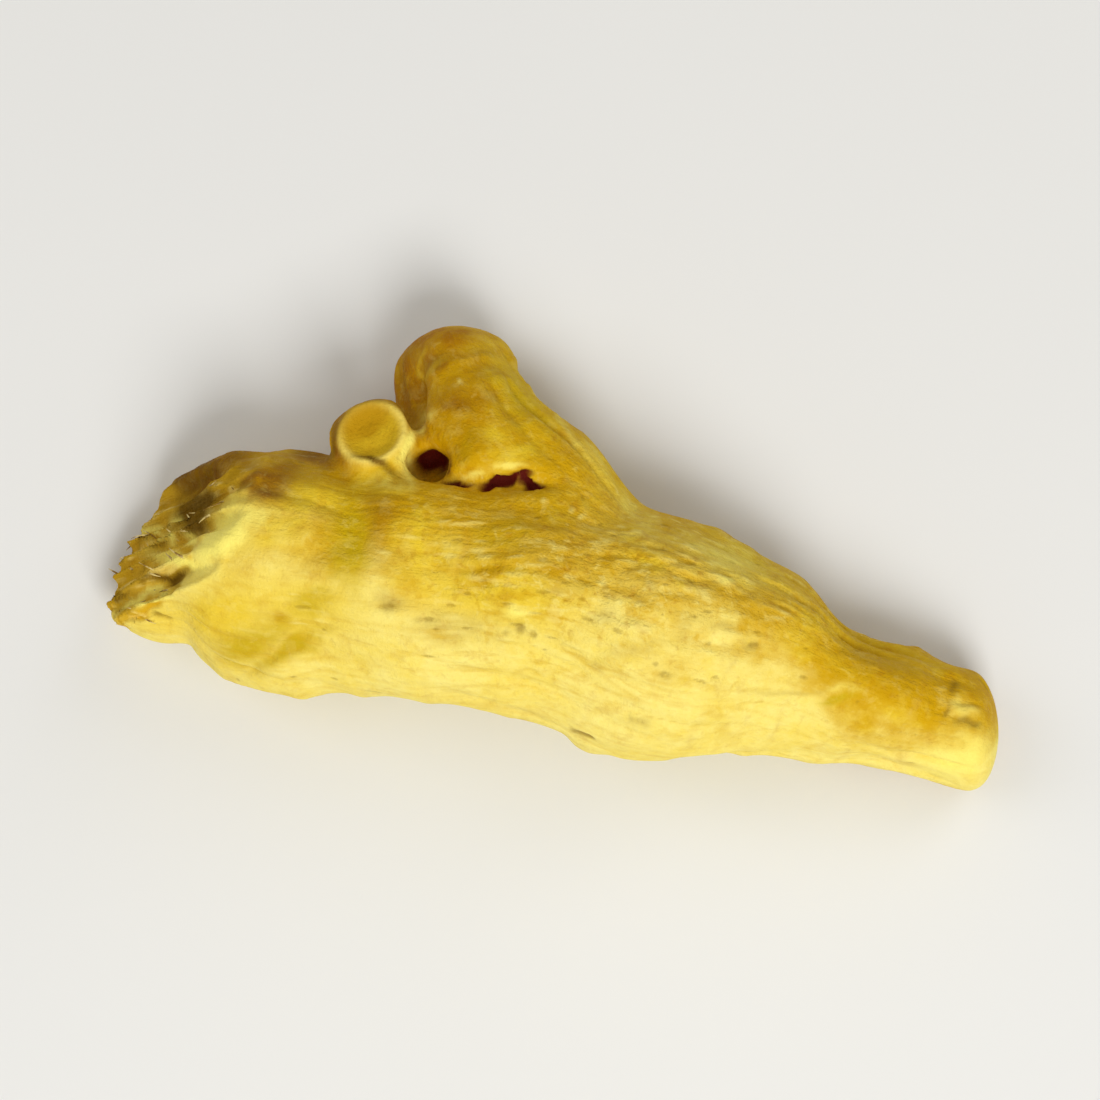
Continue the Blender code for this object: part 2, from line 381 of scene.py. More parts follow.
# The same limbs as the frame's solid, in the same design frame, in millimetres.
BODY = Limb(
    stations=(
        Station(-36.4, -3.6, 6.0, 3.6, 4.0),
        Station(-29.0, -0.3, 7.2, 6.8, 6.6),
        Station(-21.6, -1.4, 8.0, 9.2, 8.3),
        Station(-11.0, -3.0, 9.2, 8.8, 8.2),
        Station(-1.0, -4.4, 9.5, 8.7, 8.4),
        Station(9.0, -7.4, 9.0, 9.2, 8.0),
        Station(16.6, -8.9, 7.5, 7.1, 6.8),
        Station(23.4, -11.3, 5.8, 5.1, 5.6),
        Station(29.6, -13.3, 4.8, 4.8, 5.0),
        Station(34.7, -13.8, 4.8, 4.9, 4.4),
    ),
    first_cap=5.0,
    last_cap=3.2,
    ridge=0.06,
    rings=(14.0, 19.4, 24.2, 29.6, 36.4, 43.5, 50.0, 56.4, 62.0, 66.4),
    seed=10,
)
FINGER = Limb(
    stations=(
        Station(3.0, -5.4, 8.8, 9.0, 7.4),
        Station(-0.9, 1.0, 8.8, 7.5, 7.2),
        Station(-4.9, 7.2, 7.6, 6.2, 6.7),
        Station(-7.5, 12.8, 5.9, 5.3, 5.9),
        Station(-9.0, 18.9, 5.5, 5.2, 4.8),
    ),
    first_cap=5.0,
    last_cap=4.4,
    ridge=0.04,
    rings=(13.0, 17.6, 21.2),
    seed=20,
)
STUB = Limb(
    stations=(
        Station(-10.6, 2.6, 8.6, 3.9, 3.9),
        Station(-12.9, 6.0, 10.4, 3.6, 3.6),
        Station(-15.0, 9.6, 14.0, 3.7, 3.7),
    ),
    first_cap=3.0,
    last_cap=1.6,
    seed=30,
)
KNUCKLE = Limb(
    stations=(
        Station(7.0, -2.8, 8.2, 4.6, 5.0),
        Station(12.0, -2.9, 7.8, 4.3, 4.6),
        Station(16.4, -4.6, 7.2, 3.2, 3.8),
    ),
    first_cap=3.5,
    last_cap=3.0,
)
FAR_BUD = Limb(
    stations=(Station(-22.4, 1.4, 8.4, 4.8, 3.8), Station(-21.8, 7.0, 9.0, 3.6, 2.8)),
    first_cap=3.0,
    last_cap=2.4,
)
NEAR_BUD = Limb(
    stations=(Station(3.2, -10.4, 6.4, 3.2, 3.0), Station(3.8, -15.6, 5.2, 1.9, 1.9)),
    first_cap=2.0,
    last_cap=1.8,
)
TIP_BUD = Limb(
    stations=(Station(29.4, -11.4, 6.4, 2.4, 2.6), Station(32.8, -10.3, 6.7, 1.8, 1.9)),
    first_cap=2.0,
    last_cap=1.7,
)
BROKEN_END = Cut(point=(-29.4, 0.4, 9.0), facing=(-0.74, 0.36, 0.57))
STUB_FACE = Cut(point=(-14.5, 8.6, 12.9), facing=(-0.20, 0.20, 0.96))
GRAIN = (-0.97, 0.24, 0.0)
CREVICE = (
    Hollow(centre=(-9.4, 5.6, 11.6), reach=(1.5, 1.0, 3.0), depth=3.0),
    Hollow(centre=(-6.4, 3.8, 12.6), reach=(2.2, 0.7, 2.0), depth=1.2),
    Hollow(centre=(-3.0, 3.5, 13.8), reach=(2.8, 0.9, 3.0), depth=2.4),
    Hollow(centre=(-10.8, 10.4, 9.6), reach=(0.8, 3.2, 4.0), depth=1.6),
)
DENTS = (
    Hollow(centre=(-22.0, -7.4, 13.6), reach=(4.6, 3.0, 4.0), depth=0.9),
    Hollow(centre=(-13.6, -1.6, 17.0), reach=(1.8, 5.0, 4.0), depth=0.5),
    Hollow(centre=(24.0, -8.4, 10.6), reach=(4.0, 2.2, 4.0), depth=0.6),
)


class RootletScar(NamedTuple):
    """A mark where a thin root grew: its middle as the photograph shows it, radius, height and tone."""

    x: float
    up: float
    radius: float
    height: float
    tone: float


# Marks that stand out of the skin are pale, and pits are dark.
ROOTLET_SCARS = (
    RootletScar(15.5, -7.0, 0.45, -0.2, -0.75),
    RootletScar(8.9, -9.3, 0.42, -0.14, -0.6),
    RootletScar(-2.6, -6.1, 0.5, -0.2, -0.7),
    RootletScar(-12.8, -3.9, 0.45, -0.14, -0.6),
    RootletScar(6.1, -12.7, 0.4, -0.1, -0.4),
    RootletScar(2.3, -14.2, 0.55, -0.2, -1.0),
    RootletScar(6.4, -7.1, 0.45, -0.1, -0.4),
    RootletScar(3.2, -8.3, 0.4, -0.1, -0.4),
    RootletScar(-9.7, -5.3, 0.4, -0.1, -0.4),
    RootletScar(34.0, -9.8, 0.4, -0.2, -0.7),
    RootletScar(-33.4, -5.2, 0.4, -0.2, -0.8),
    RootletScar(-31.6, -4.2, 0.42, -0.24, -0.9),
    RootletScar(-30.6, -5.1, 0.4, -0.22, -0.8),
    RootletScar(6.5, 1.8, 0.7, 0.2, 0.6),
    RootletScar(13.1, -1.7, 0.55, 0.2, 0.8),
    RootletScar(9.6, -2.3, 0.55, 0.14, 0.5),
    RootletScar(-13.7, -3.1, 0.5, 0.1, 0.5),
    RootletScar(31.8, -11.9, 0.5, 0.2, 0.4),
)


class Patch(NamedTuple):
    """A blotch as the photograph shows it: its middle across and up, its half sizes, its lean in degrees."""

    x: float
    up: float
    long: float
    wide: float
    lean: float = 0.0
    strength: float = 1.0


# The tones that the photograph shows in single places, in millimetres from the picture's middle.
PATCHES: dict[Mark, tuple[Patch, ...]] = {
    # The rind's corner by the torn end, its lower rim, torn bundles, the stub's edge, the finger's bumps,
    # and painted highlights and painted light in a few places.
    Mark.PALE: (
        Patch(-25.4, 1.0, 2.9, 1.3, 55),
        Patch(-28.6, -0.6, 2.6, 0.6, -16, 0.9),
        Patch(-32.4, 1.8, 2.1, 0.4, 5, 0.8),
        Patch(-29.7, 3.1, 0.6, 0.4, 0, 0.7),
        Patch(-29.9, 1.2, 0.7, 0.45, 0, 0.8),
        Patch(-28.0, 1.6, 0.6, 0.5, 0, 0.7),
        Patch(-32.2, -6.6, 2.2, 0.6, -25, 0.9),
        Patch(-31.9, -3.6, 2.8, 0.35, 27, 0.8),
        Patch(-23.0, 3.0, 1.8, 0.8, 20, 0.5),
        Patch(-10.8, 7.6, 1.8, 0.5, 80, 1.0),
        Patch(-12.3, 5.8, 1.6, 0.3, 6, 0.3),
        Patch(-9.7, 10.7, 0.7, 0.5, 60, 0.5),
        Patch(-10.3, 9.0, 0.7, 0.5, 60, 0.7),
        # Painted highlights on the slit's upper lip.
        Patch(-6.0, 6.2, 1.1, 0.25, 12, 0.6),
        Patch(-3.3, 6.9, 1.2, 0.3, 8, 0.7),
        # A painted highlight along the finger's right edge.
        Patch(0.8, 10.8, 5.4, 0.35, -55, 0.35),
        # A painted highlight above a pit.
        Patch(-3.1, -4.5, 1.0, 0.4, 10, 0.7),
        Patch(13.1, -1.8, 0.6, 0.4, 0, 0.7),
        # Painted light on the knuckle's far slope.
        Patch(13.4, -0.4, 3.6, 1.3, -24, 0.42),
        Patch(6.4, 3.4, 2.4, 0.8, -36, 0.35),
        Patch(22.4, -10.6, 1.6, 0.35, -10, 0.25),
        Patch(31.8, -11.8, 0.7, 0.6, 0, 0.45),
        Patch(31.6, -15.4, 3.0, 1.8, 20, 0.6),
    ),
    Mark.GOLD: (
        Patch(-24.9, -4.4, 4.2, 2.4, 10, 0.9),
        Patch(-28.8, -4.4, 2.6, 1.2, 20, 0.6),
        Patch(-18.2, 4.6, 3.0, 1.6, 0, 0.8),
        Patch(-13.4, 5.4, 2.6, 0.9, 0, 0.8),
        Patch(-21.0, 1.6, 3.2, 1.2, 0, 0.5),
        Patch(-9.4, -12.0, 4.0, 1.2, 5, 0.3),
        Patch(-4.7, 9.6, 1.1, 0.7, 10, 0.9),
        Patch(-2.2, 8.2, 1.8, 0.8, 10, 1.0),
        Patch(-10.2, 0.8, 0.6, 2.8, 0, 0.8),
        Patch(-3.6, -2.8, 6.5, 2.9, -6, 0.9),
        Patch(-8.4, -0.6, 2.6, 1.6, 0, 0.5),
        Patch(14.6, -0.7, 5.2, 1.8, -24, 0.75),
        Patch(23.4, -6.4, 4.4, 1.4, -26, 0.6),
        Patch(5.2, 5.4, 3.4, 1.6, -40, 0.6),
        Patch(-2.0, 12.6, 2.2, 4.0, 35, 0.5),
        Patch(-19.6, -4.4, 5.0, 2.8, -8, 0.7),
        Patch(-29.6, -4.6, 3.2, 1.6, 20, 0.6),
        Patch(6.5, 1.8, 0.9, 0.7, 0, 0.9),
        Patch(6.8, -0.4, 2.2, 0.6, 0, 0.8),
        Patch(9.6, -2.2, 1.0, 0.6, 0, 0.8),
        Patch(26.4, -12.4, 1.6, 0.6, -20, 0.7),
    ),
    Mark.OCHRE: (
        Patch(-20.9, -5.0, 0.9, 0.7, 0, 0.8),
        Patch(-1.4, 0.8, 6.5, 3.0, -8, 0.6),
        Patch(-3.6, 3.9, 5.0, 0.9, -4, 0.6),
        Patch(-4.2, -1.4, 1.6, 0.7, 0, 1.0),
        Patch(0.2, -0.5, 1.9, 0.5, 0, 1.0),
        Patch(-3.6, -3.4, 0.7, 0.5, 0, 0.6),
        Patch(3.8, -0.5, 0.8, 0.6, 0, 0.8),
        Patch(6.0, -3.2, 2.2, 0.6, 0, 0.7),
        Patch(10.6, 1.6, 3.4, 1.2, -12, 0.4),
        Patch(15.6, -3.0, 1.6, 1.4, -50, 0.25),
        Patch(21.4, -9.6, 2.4, 0.7, -22, 0.6),
        Patch(26.2, -9.0, 5.4, 1.6, -26, 0.75),
        Patch(25.2, -10.2, 1.5, 0.7, -20, 1.0),
        Patch(-7.4, 13.0, 3.4, 3.4, 0, 0.6),
    ),
    Mark.OLIVE: (
        # Olive in the hollow under the ridge by the torn end: painted shade.
        Patch(-23.6, -7.1, 2.6, 1.5, 14, 0.95),
        Patch(-20.4, -7.3, 3.4, 0.7, 29, 0.95),
        Patch(-21.4, -6.2, 2.6, 1.0, 15, 0.6),
        Patch(-18.2, -3.6, 2.0, 0.7, 12, 0.7),
        Patch(-15.2, 0.9, 1.4, 3.6, 0, 1.0),
        Patch(-6.6, 8.4, 0.9, 1.2, 0, 0.7),
        Patch(-3.0, 12.4, 3.6, 1.4, -55, 0.5),
        Patch(-3.6, 1.6, 2.6, 1.2, 0, 0.4),
        Patch(14.4, 0.3, 2.6, 0.8, -20, 0.6),
        Patch(21.8, -11.5, 1.4, 0.3, 0, 1.0),
        Patch(0.6, 3.6, 2.6, 1.2, -30, 0.25),
    ),
    Mark.BROWN: (
        # Brown on the far flank, from the torn end towards the stub: painted shade.
        Patch(-27.2, 6.0, 5.0, 2.7, 28),
        Patch(-22.4, 5.8, 3.6, 1.3, 4, 0.8),
        Patch(-18.4, 7.6, 2.8, 1.1, 0, 0.7),
        Patch(-6.8, 8.6, 1.5, 1.3, 0, 0.45),
        Patch(-13.1, 3.0, 1.1, 2.4, 0, 0.45),
        Patch(-7.0, 11.8, 2.0, 0.7, 5, 0.7),
        Patch(-8.8, 15.0, 1.0, 1.0, 0, 0.7),
        Patch(-11.2, 13.0, 1.2, 3.4, -10, 0.6),
        # Brown on the stub's left wall: painted shade.
        Patch(-16.3, 9.0, 1.2, 2.6, 0, 0.9),
        Patch(-14.2, 12.2, 2.4, 0.9, 0, 0.8),
    ),
    # Grey blotches on the pale flank, some of them over shallow pits.
    Mark.DULL: (
        Patch(-7.0, -5.6, 3.4, 1.0, -4, 0.6),
        Patch(3.9, -4.9, 1.0, 0.4, 0, 0.8),
        Patch(6.2, -7.0, 1.4, 0.7, 8, 0.45),
        Patch(3.2, -8.3, 0.8, 0.4, 0, 0.6),
        Patch(10.2, -5.6, 0.7, 0.9, 0, 0.5),
        Patch(7.5, -1.7, 0.7, 0.5, 0, 0.9),
        Patch(11.4, -3.0, 0.9, 0.5, 0, 0.6),
        Patch(13.0, -5.4, 0.8, 0.6, 0, 0.6),
        Patch(6.1, -12.7, 0.9, 0.3, 0, 0.7),
        Patch(17.8, -10.4, 3.0, 0.25, 0, 0.6),
        Patch(-12.6, -3.6, 0.9, 0.7, 0, 0.7),
        Patch(0.6, -2.6, 1.6, 0.5, 0, 0.6),
    ),
    # The scar's stained upper part, which is also painted shade where the far flank beside it lies
    # in shadow, its clefts, and a painted shadow line under the stub's face.
    Mark.DARK: (
        Patch(-27.9, 3.4, 2.3, 1.5, 25),
        Patch(-27.8, 6.4, 3.6, 1.6, 28, 0.55),
        Patch(-29.8, -1.75, 2.0, 0.35, 7, 0.9),
        Patch(-33.9, -3.2, 1.0, 0.35, 20, 0.8),
        Patch(-31.7, 0.8, 1.2, 0.35, 25, 0.7),
        Patch(-34.2, 0.0, 0.6, 0.35, 0, 0.6),
        # A painted shadow line under the stub's face.
        Patch(-13.4, 6.85, 1.9, 0.3, -17, 0.9),
        Patch(-17.2, 8.8, 0.5, 0.8, 0, 0.6),
        Patch(31.2, -10.6, 0.5, 0.35, 0, 0.5),
        Patch(32.3, -12.8, 0.55, 0.35, 10, 0.6),
        Patch(30.7, -12.3, 0.3, 0.5, 0, 0.55),
    ),
    # The crevice's hole and slit are painted dark maroon: painted shade.
    Mark.HOLE: (
        Patch(-9.2, 7.1, 1.5, 1.0, -12),
        Patch(-7.2, 5.5, 1.6, 0.28, -10, 0.7),
        Patch(-3.9, 5.6, 1.8, 0.42, 12),
        Patch(-2.2, 6.0, 1.0, 0.3, 20, 0.8),
        Patch(-1.6, 5.4, 1.3, 0.36, -14),
    ),
}


class Fold(NamedTuple):
    """A crease in the picture plane: its two ends, and how far the skin above it drops, over what reach."""

    start: tuple[float, float]
    end: tuple[float, float]
    drop: float
    reach: float


FOLDS = (
    Fold(start=(-24.4, -9.6), end=(-16.6, -5.4), drop=0.45, reach=2.2),
    Fold(start=(20.2, -11.2), end=(30.5, -14.3), drop=0.2, reach=1.6),
)


def hollow_depth(points: Array, hollows: Sequence[Hollow]) -> Array:
    """Adds up how deep the dents are: each one is a soft bell, deepest in its middle.

    Args:
        points: Points on the skin, in millimetres.
        hollows: The dents.

    Returns:
        The depth at each point, in millimetres.
    """
    depth = np.zeros(len(points))
    for hollow in hollows:
        away = ((points - hollow.centre) / hollow.reach) ** 2
        depth += hollow.depth * np.exp(-away.sum(axis=1))
    return depth


def nearness(points: Array, cut: Cut, fade: float) -> Array:
    """Returns how much points belong to a broken face: 1 on its plane, 0 from the fade's depth down."""
    depth = ((np.array(cut.point) - points) * unit(np.array(cut.facing))).sum(axis=1)
    return np.clip(1 - depth / fade, 0, 1)


@dataclass(frozen=True)
class DriedRelief:
    """The large relief of the dried skin, the same as the solid's.

    Lumps, lengthwise wrinkles and scale-leaf rings, torn fibres on the broken end, and hollows.
    """

    lump_height: float = 0.34
    lump_length: float = 13.0
    wrinkle_height: float = 0.4
    wrinkle_length: float = 4.6
    wrinkle_stretch: float = 0.2
    ring_height: float = 0.3
    ring_width: float = 1.1
    ring_wander: float = 0.8
    fibre_height: float = 0.8
    fibre_length: float = 3.0
    fibre_stretch: float = 0.16
    girth: float = 8.0
    blend: float = 1.2
    broken_fade: float = 0.8
    stub_fade: float = 0.6
    stub_reach: float = 4.6
    stub_edge: float = 1.4

    def unrolled(self, places: SkinPlaces) -> Array:
        """Returns places as points of a cylinder of the usual girth, with the distance along it last."""
        around = (self.girth * np.cos(places.angle), self.girth * np.sin(places.angle))
        return np.stack([*around, places.along], axis=1)

    def ring_line(self, limb: Limb, round_it: Array) -> Array:
        """Returns the distance along a limb, made to wander so that its rings aren't true circles."""
        wander = waves(round_it * (1, 1, 0.3), 2 * self.girth, limb.seed + 2)
        return round_it[:, 2] + self.ring_wander * wander

    def ring_strength(self, limb: Limb, round_it: Array) -> Array:
        """Returns how strongly rings show round a limb, from 0 where they have worn away."""
        return np.clip(0.6 + 0.4 * waves(round_it * (1, 1, 0.2), self.girth, limb.seed + 3), 0, 1.2)

    def limb_height(self, limb: Limb, places: SkinPlaces) -> Array:
        """The height of one limb's skin.

        Wrinkles are the absolute value of noise that is drawn out along the limb, stronger in some
        patches than in others. Each ring is a low bell across the wandering distance along the limb.

        Args:
            limb: The limb.
            places: Where the points are on it.

        Returns:
            The height at each point, in millimetres.
        """
        round_it = self.unrolled(places)
        stretched = round_it * (1, 1, self.wrinkle_stretch)
        furrows = np.minimum(np.abs(waves(stretched, self.wrinkle_length, limb.seed)), 1.2)
        patches = np.clip(0.55 + 0.45 * waves(round_it, 2 * self.girth, limb.seed + 1), 0.1, 1.2)
        height = self.wrinkle_height * patches * (furrows - 0.6) * limb.plain_end(places.along)
        wandering = self.ring_line(limb, round_it)
        strength = self.ring_height * self.ring_strength(limb, round_it)
        for ring in limb.rings:
            height += strength * bell(wandering - ring, self.ring_width)
        return height

    def weights(self, outs: Sequence[Array]) -> Array:
        """Returns each limb's share of the skin at each point, from its distance out of their skins."""
        shares = np.exp((np.min(outs, axis=0) - outs) / self.blend)
        return shares / shares.sum(axis=0)

    def grain_places(self, points: Array) -> Array:
        """Turns points so that the grain of the broken end is the first axis.

        Args:
            points: Points in the design frame, in millimetres.

        Returns:
            How far they are along the grain, across it, and outwards.
        """
        facing = unit(np.array(BROKEN_END.facing))
        grain = unit(GRAIN - (facing @ GRAIN) * facing)
        return points @ np.stack([grain, np.cross(facing, grain), facing], axis=1)

    def broken(self, points: Array) -> Array:
        """Returns how much points belong to the broken end."""
        return nearness(points, BROKEN_END, self.broken_fade)

    def snapped(self, points: Array) -> Array:
        """Works out how much points belong to the stub's face.

        Args:
            points: Points on the smooth skin, in millimetres.

        Returns:
            1 on the face, less below it, and 0 from the reach outwards.
        """
        from_stub = np.linalg.norm((points - STUB_FACE.point)[:, :2], axis=1)
        round_stub = np.clip((self.stub_reach - from_stub) / self.stub_edge, 0, 1)
        return nearness(points, STUB_FACE, self.stub_fade) * round_stub

    def height(self, points: Array, limbs: Sequence[Limb], places: Sequence[SkinPlaces]) -> Array:
        """The whole skin's height over its smooth form.

        Args:
            points: Points on the smooth skin, in millimetres.
            limbs: The limbs that have wrinkles of their own.
            places: Where the points are on each of those limbs.

        Returns:
            The height at each point, in millimetres.
        """
        heights = np.array([self.limb_height(limb, at) for limb, at in zip(limbs, places)])
        height = (heights * self.weights([at.out for at in places])).sum(axis=0)
        height += self.lump_height * waves(points, self.lump_length, 40)
        broken = self.broken(points)
        height *= 1 - np.maximum(broken, self.snapped(points))
        drawn_out = self.grain_places(points) * (self.fibre_stretch, 1, 1)
        torn = np.minimum(np.abs(waves(drawn_out, self.fibre_length, 50)), 1.4)
        height += self.fibre_height * (0.6 - torn) * broken
        return height - hollow_depth(points, CREVICE + DENTS)


@dataclass(frozen=True)
class Scatter:
    """Small marks scattered over a band of the skin, each drawn out along the limb.

    Attributes:
        count: How many marks.
        long: Their half length along the limb, smallest and largest, in millimetres.
        wide: Their half width.
        deep: Their depth.
        seed: The seed of the draw.
    """

    count: int
    long: tuple[float, float]
    wide: tuple[float, float]
    deep: tuple[float, float]
    seed: int

    def read(self, points: Array, forwards: Array, chance: Array) -> tuple[Array, Array]:
        """Presses the marks into the skin.

        Each mark is a bell in three dimensions round one of the skin's points, longer along the limb.

        Args:
            points: The skin's points, in millimetres.
            forwards: The limb's direction at each of them.
            chance: How likely a mark is at each of them, up to any factor.

        Returns:
            The depth at each point, in millimetres, and how much of a mark it is, from 0 to 1.
        """
        draw = np.random.default_rng(self.seed)
        middles = draw.choice(len(points), self.count, replace=False, p=chance / chance.sum())
        sizes = draw.uniform(0, 1, (3, self.count))
        depth, mark = np.zeros(len(points)), np.zeros(len(points))
        for middle, long, wide, deep in zip(middles, *sizes):
            offset = points - points[middle]
            lengthwise = offset @ forwards[middle]
            sideways = (offset**2).sum(axis=1) - lengthwise**2
            a, b = (np.interp(share, (0, 1), span) for share, span in ((long, self.long), (wide, self.wide)))
            press = np.exp(-((lengthwise / a) ** 2) - sideways / b**2)
            depth = np.maximum(depth, press * np.interp(deep, (0, 1), self.deep))
            mark = np.maximum(mark, press)
        return depth, mark


@dataclass
class FineRelief:
    """The small relief that only the finer skin carries, and the marks that colour it."""

    furrow_length: float = 2.4
    furrow_stretch: float = 0.13
    furrow_width: float = 0.2
    furrow_depth: float = 0.1
    crease_length: float = 1.15
    crease_stretch: float = 0.3
    crease_depth: float = 0.035
    ring_groove_width: float = 0.32
    ring_groove_depth: float = 0.06
    fibre_length: float = 0.9
    fibre_depth: float = 0.2
    pits: Scatter = Scatter(90, (0.3, 0.9), (0.13, 0.26), (0.05, 0.14), 61)
    spots: Scatter = Scatter(12, (0.3, 0.5), (0.28, 0.42), (0.08, 0.18), 62)
    specks: Scatter = Scatter(110, (0.35, 1.5), (0.14, 0.32), (0.04, 0.13), 67)
    band_depth: float = 0.24
    dark_depth: float = 0.2
    hole_depth: float = 0.6
    bud_height: float = 0.08
    rim_height: float = 0.3
    face_sink: float = 0.4
    bevel: float = 0.5
    stub_middle: tuple[float, float, float] = (-13.9, 7.9, 13.2)
    stub_radius: float = 2.5
    bud_centre: tuple[float, float, float] = (-8.9, 14.25, 10.3)
    bud_radius: float = 1.65
    patch_edge: float = 1.15
    band_middle: tuple[float, float] = (4.0, -3.0)
    band_reach: tuple[float, float] = (13.0, 5.0)
    chin: Hollow = Hollow(centre=(-30.4, -6.2, 4.5), reach=(3.0, 2.0, 3.0), depth=0.7)
    marks: dict[Mark, Array] = field(default_factory=dict)

    def limb_lines(self, limb: Limb, round_it: Array, relief: DriedRelief) -> tuple[Array, Array, Array]:
        """The furrow lines and ring lines of one limb.

        A furrow runs where noise that is drawn out along the limb passes through 0, so the furrows
        branch and join again as they do on dried skin.

        Args:
            limb: The limb.
            round_it: Points of its skin, unrolled.
            relief: The large relief, whose rings these lines follow.

        Returns:
            How much of a furrow, a crease and a ring line each point is, from 0 to 1.
        """
        drawn_out = round_it * (1, 1, self.furrow_stretch)
        furrow = bell(waves(drawn_out, self.furrow_length, limb.seed + 4), self.furrow_width)
        finer = round_it * (1, 1, self.crease_stretch)
        crease = bell(waves(finer, self.crease_length, limb.seed + 5), 0.3)
        patches = np.clip(0.3 + 0.5 * waves(round_it * (1, 1, 0.5), 9.0, limb.seed + 6), 0, 1)
        patches *= limb.plain_end(round_it[:, 2])
        wandering = relief.ring_line(limb, round_it) + 0.14 * waves(round_it, 3.0, limb.seed + 7)
        ring = np.zeros(len(round_it))
        for place in limb.rings:
            ring = np.maximum(ring, bell(wandering - place - 0.5, self.ring_groove_width))
        return furrow * patches, crease * patches, ring * relief.ring_strength(limb, round_it)

    def stub_plane(self, points: Array) -> tuple[Array, Array, Array]:
        """Finds points on the plane of the stub's face.

        Args:
            points: Points on the skin, in millimetres.

        Returns:
            How far they are from the face's middle, how far over its plane, and how much they lie on
            its lit side, which is the right and the lower one as the photograph shows it, and which is
            painted paler as painted light.
        """
        facing = unit(np.array(STUB_FACE.facing))
        offset = points - self.stub_middle
        over = offset @ facing
        radius = np.linalg.norm(offset - over[:, None] * facing, axis=1)
        side = (0.6 * offset[:, 0] - 0.8 * offset[:, 1]) / np.maximum(radius, 0.1)
        return radius, over, smooth_step(-0.9, 0.2, side)

    def patches(self, picture: Array, kind: Mark) -> Array:
        """Lays out the blotches of one tone, each a soft oval with a wavy edge.

        Args:
            picture: Where points are in the picture plane, with the waves already in it.
            kind: The tone.

        Returns:
            The tone's strength at each point.
        """
        strength = np.zeros(len(picture))
        for patch in PATCHES[kind]:
            lean = math.radians(patch.lean)
            offset = picture - (patch.x, patch.up)
            along = offset @ (math.cos(lean), math.sin(lean)) / patch.long
            across = offset @ (-math.sin(lean), math.cos(lean)) / patch.wide
            oval = patch.strength * np.exp(-((along**2 + across**2) ** self.patch_edge))
            strength = np.maximum(strength, oval)
        return strength

    def fold_depth(self, picture: Array) -> Array:
        """Presses the folds in: the skin drops along the line, and rises again over the fold's reach.

        Args:
            picture: Where points are in the picture plane.

        Returns:
            The depth at each point, in millimetres.
        """
        depth = np.zeros(len(picture))
        for fold in FOLDS:
            way = np.array(fold.end) - fold.start
            length = np.linalg.norm(way)
            offset = picture - fold.start
            along = offset @ way / length**2
            above = (way[0] * offset[:, 1] - way[1] * offset[:, 0]) / length
            fading = smooth_step(-0.1, 0.25, along) * smooth_step(1.1, 0.75, along)
            drop = fold.drop * smooth_step(-0.5, 0.4, above) * bell(np.maximum(above, 0), fold.reach)
            depth += drop * fading
        return depth

    def rootlet_scars(self, points: Array) -> tuple[Array, Array]:
        """Sets the rootlet scars on the top of the skin, each a soft bell with a low rim.

        Args:
            points: Points on the skin, in millimetres.

        Returns:
            How pale (up to 1) or dark (down to -1) each point is, and how far it stands out.
        """
        tone, height = np.zeros(len(points)), np.zeros(len(points))
        picture = seen(points)
        for scar in ROOTLET_SCARS:
            beside = np.hypot(picture[:, 0] - scar.x, picture[:, 1] - scar.up)
            top = points[np.where(beside < 0.4, points[:, 2], -np.inf).argmax()]
            away = np.linalg.norm((points - top) * (0.38, 1, 1), axis=1)
            knob = bell(away + 0.16 * waves(points, 1.2, 78), scar.radius)
            rim = bell(away - 1.4 * scar.radius, 0.5 * scar.radius) * (scar.height < 0)
            tone += scar.tone * knob
            height += scar.height * knob + 0.04 * rim
        return np.clip(tone, -1, 1), height

    def torn_part(self, smooth: Array) -> Array:
        """Works out where the torn flesh of the broken end is, with a ragged edge.

        Args:
            smooth: Points on the smooth skin, in millimetres.

        Returns:
            How much each point belongs to it, from 0 to 1.
        """
        near = nearness(smooth, BROKEN_END, 2.4)
        ragged = near + 0.14 * waves(smooth, 3.2, 70) * (near > 0)
        far_side = smooth_step(6.2, 4.2, smooth[:, 1] + 0.5 * waves(smooth, 3.0, 69))
        way = unit(np.array([1.0, 1.5]))
        beside = (seen(smooth) - (-24.8, 4.0)) @ (-way[1], way[0]) + 0.25 * waves(smooth, 2.0, 72)
        return smooth_step(0.5, 0.72, ragged) * far_side * smooth_step(-0.3, 0.4, beside)

    def band_and_side(
        self, points: Array, wavy: Array, angle: Array, on_top: Array
    ) -> tuple[Array, Array]:
        """Works out where the skin is pitted, and which side of it is the darker one, with painted shade.

        Args:
            points: Points on the skin, in millimetres.
            wavy: Where they are in the picture plane, with its waves.
            angle: Their angle round the body.
            on_top: How much they face up.

        Returns:
            How much each point is in the pitted band, and how much on the darker side, which is the
            one that the finger grows on and carries painted shade, from 0 to 1.
        """
        across, up = self.band_middle
        long, wide = self.band_reach
        band = bell(wavy[:, 0] - across, long) * bell(wavy[:, 1] - up, wide) * on_top
        ragged = 0.1 * waves(points, 7.0, 63) + 0.05 * waves(points, 2.4, 64)
        to_tip = smooth_step(12, 26, points[:, 0])
        side = smooth_step(-0.5, 0.25, np.cos(angle) + ragged + 0.45 * to_tip)
        by_scar = bell(points[:, 0] + 24, 5) * bell(points[:, 1] + 1, 3.5)
        return band, side * (1 - np.clip(0.4 * band + 0.6 * by_scar, 0, 1))

    def bud_ring(self, points: Array) -> Array:
        """Draws the mark of the finger's bud: a ring that is open towards the upper right.

        Args:
            points: Points on the skin, in millimetres.

        Returns:
            How much each point is on the ring, from 0 to 1.
        """
        offset = points - self.bud_centre
        radius = np.linalg.norm(offset, axis=1)
        ring = bell(radius - self.bud_radius - 0.2 * waves(points, 2.6, 73), 0.32)
        return ring * smooth_step(0.6, -0.2, offset @ (0.75, 0.66, 0.0) / np.maximum(radius, 0.1))

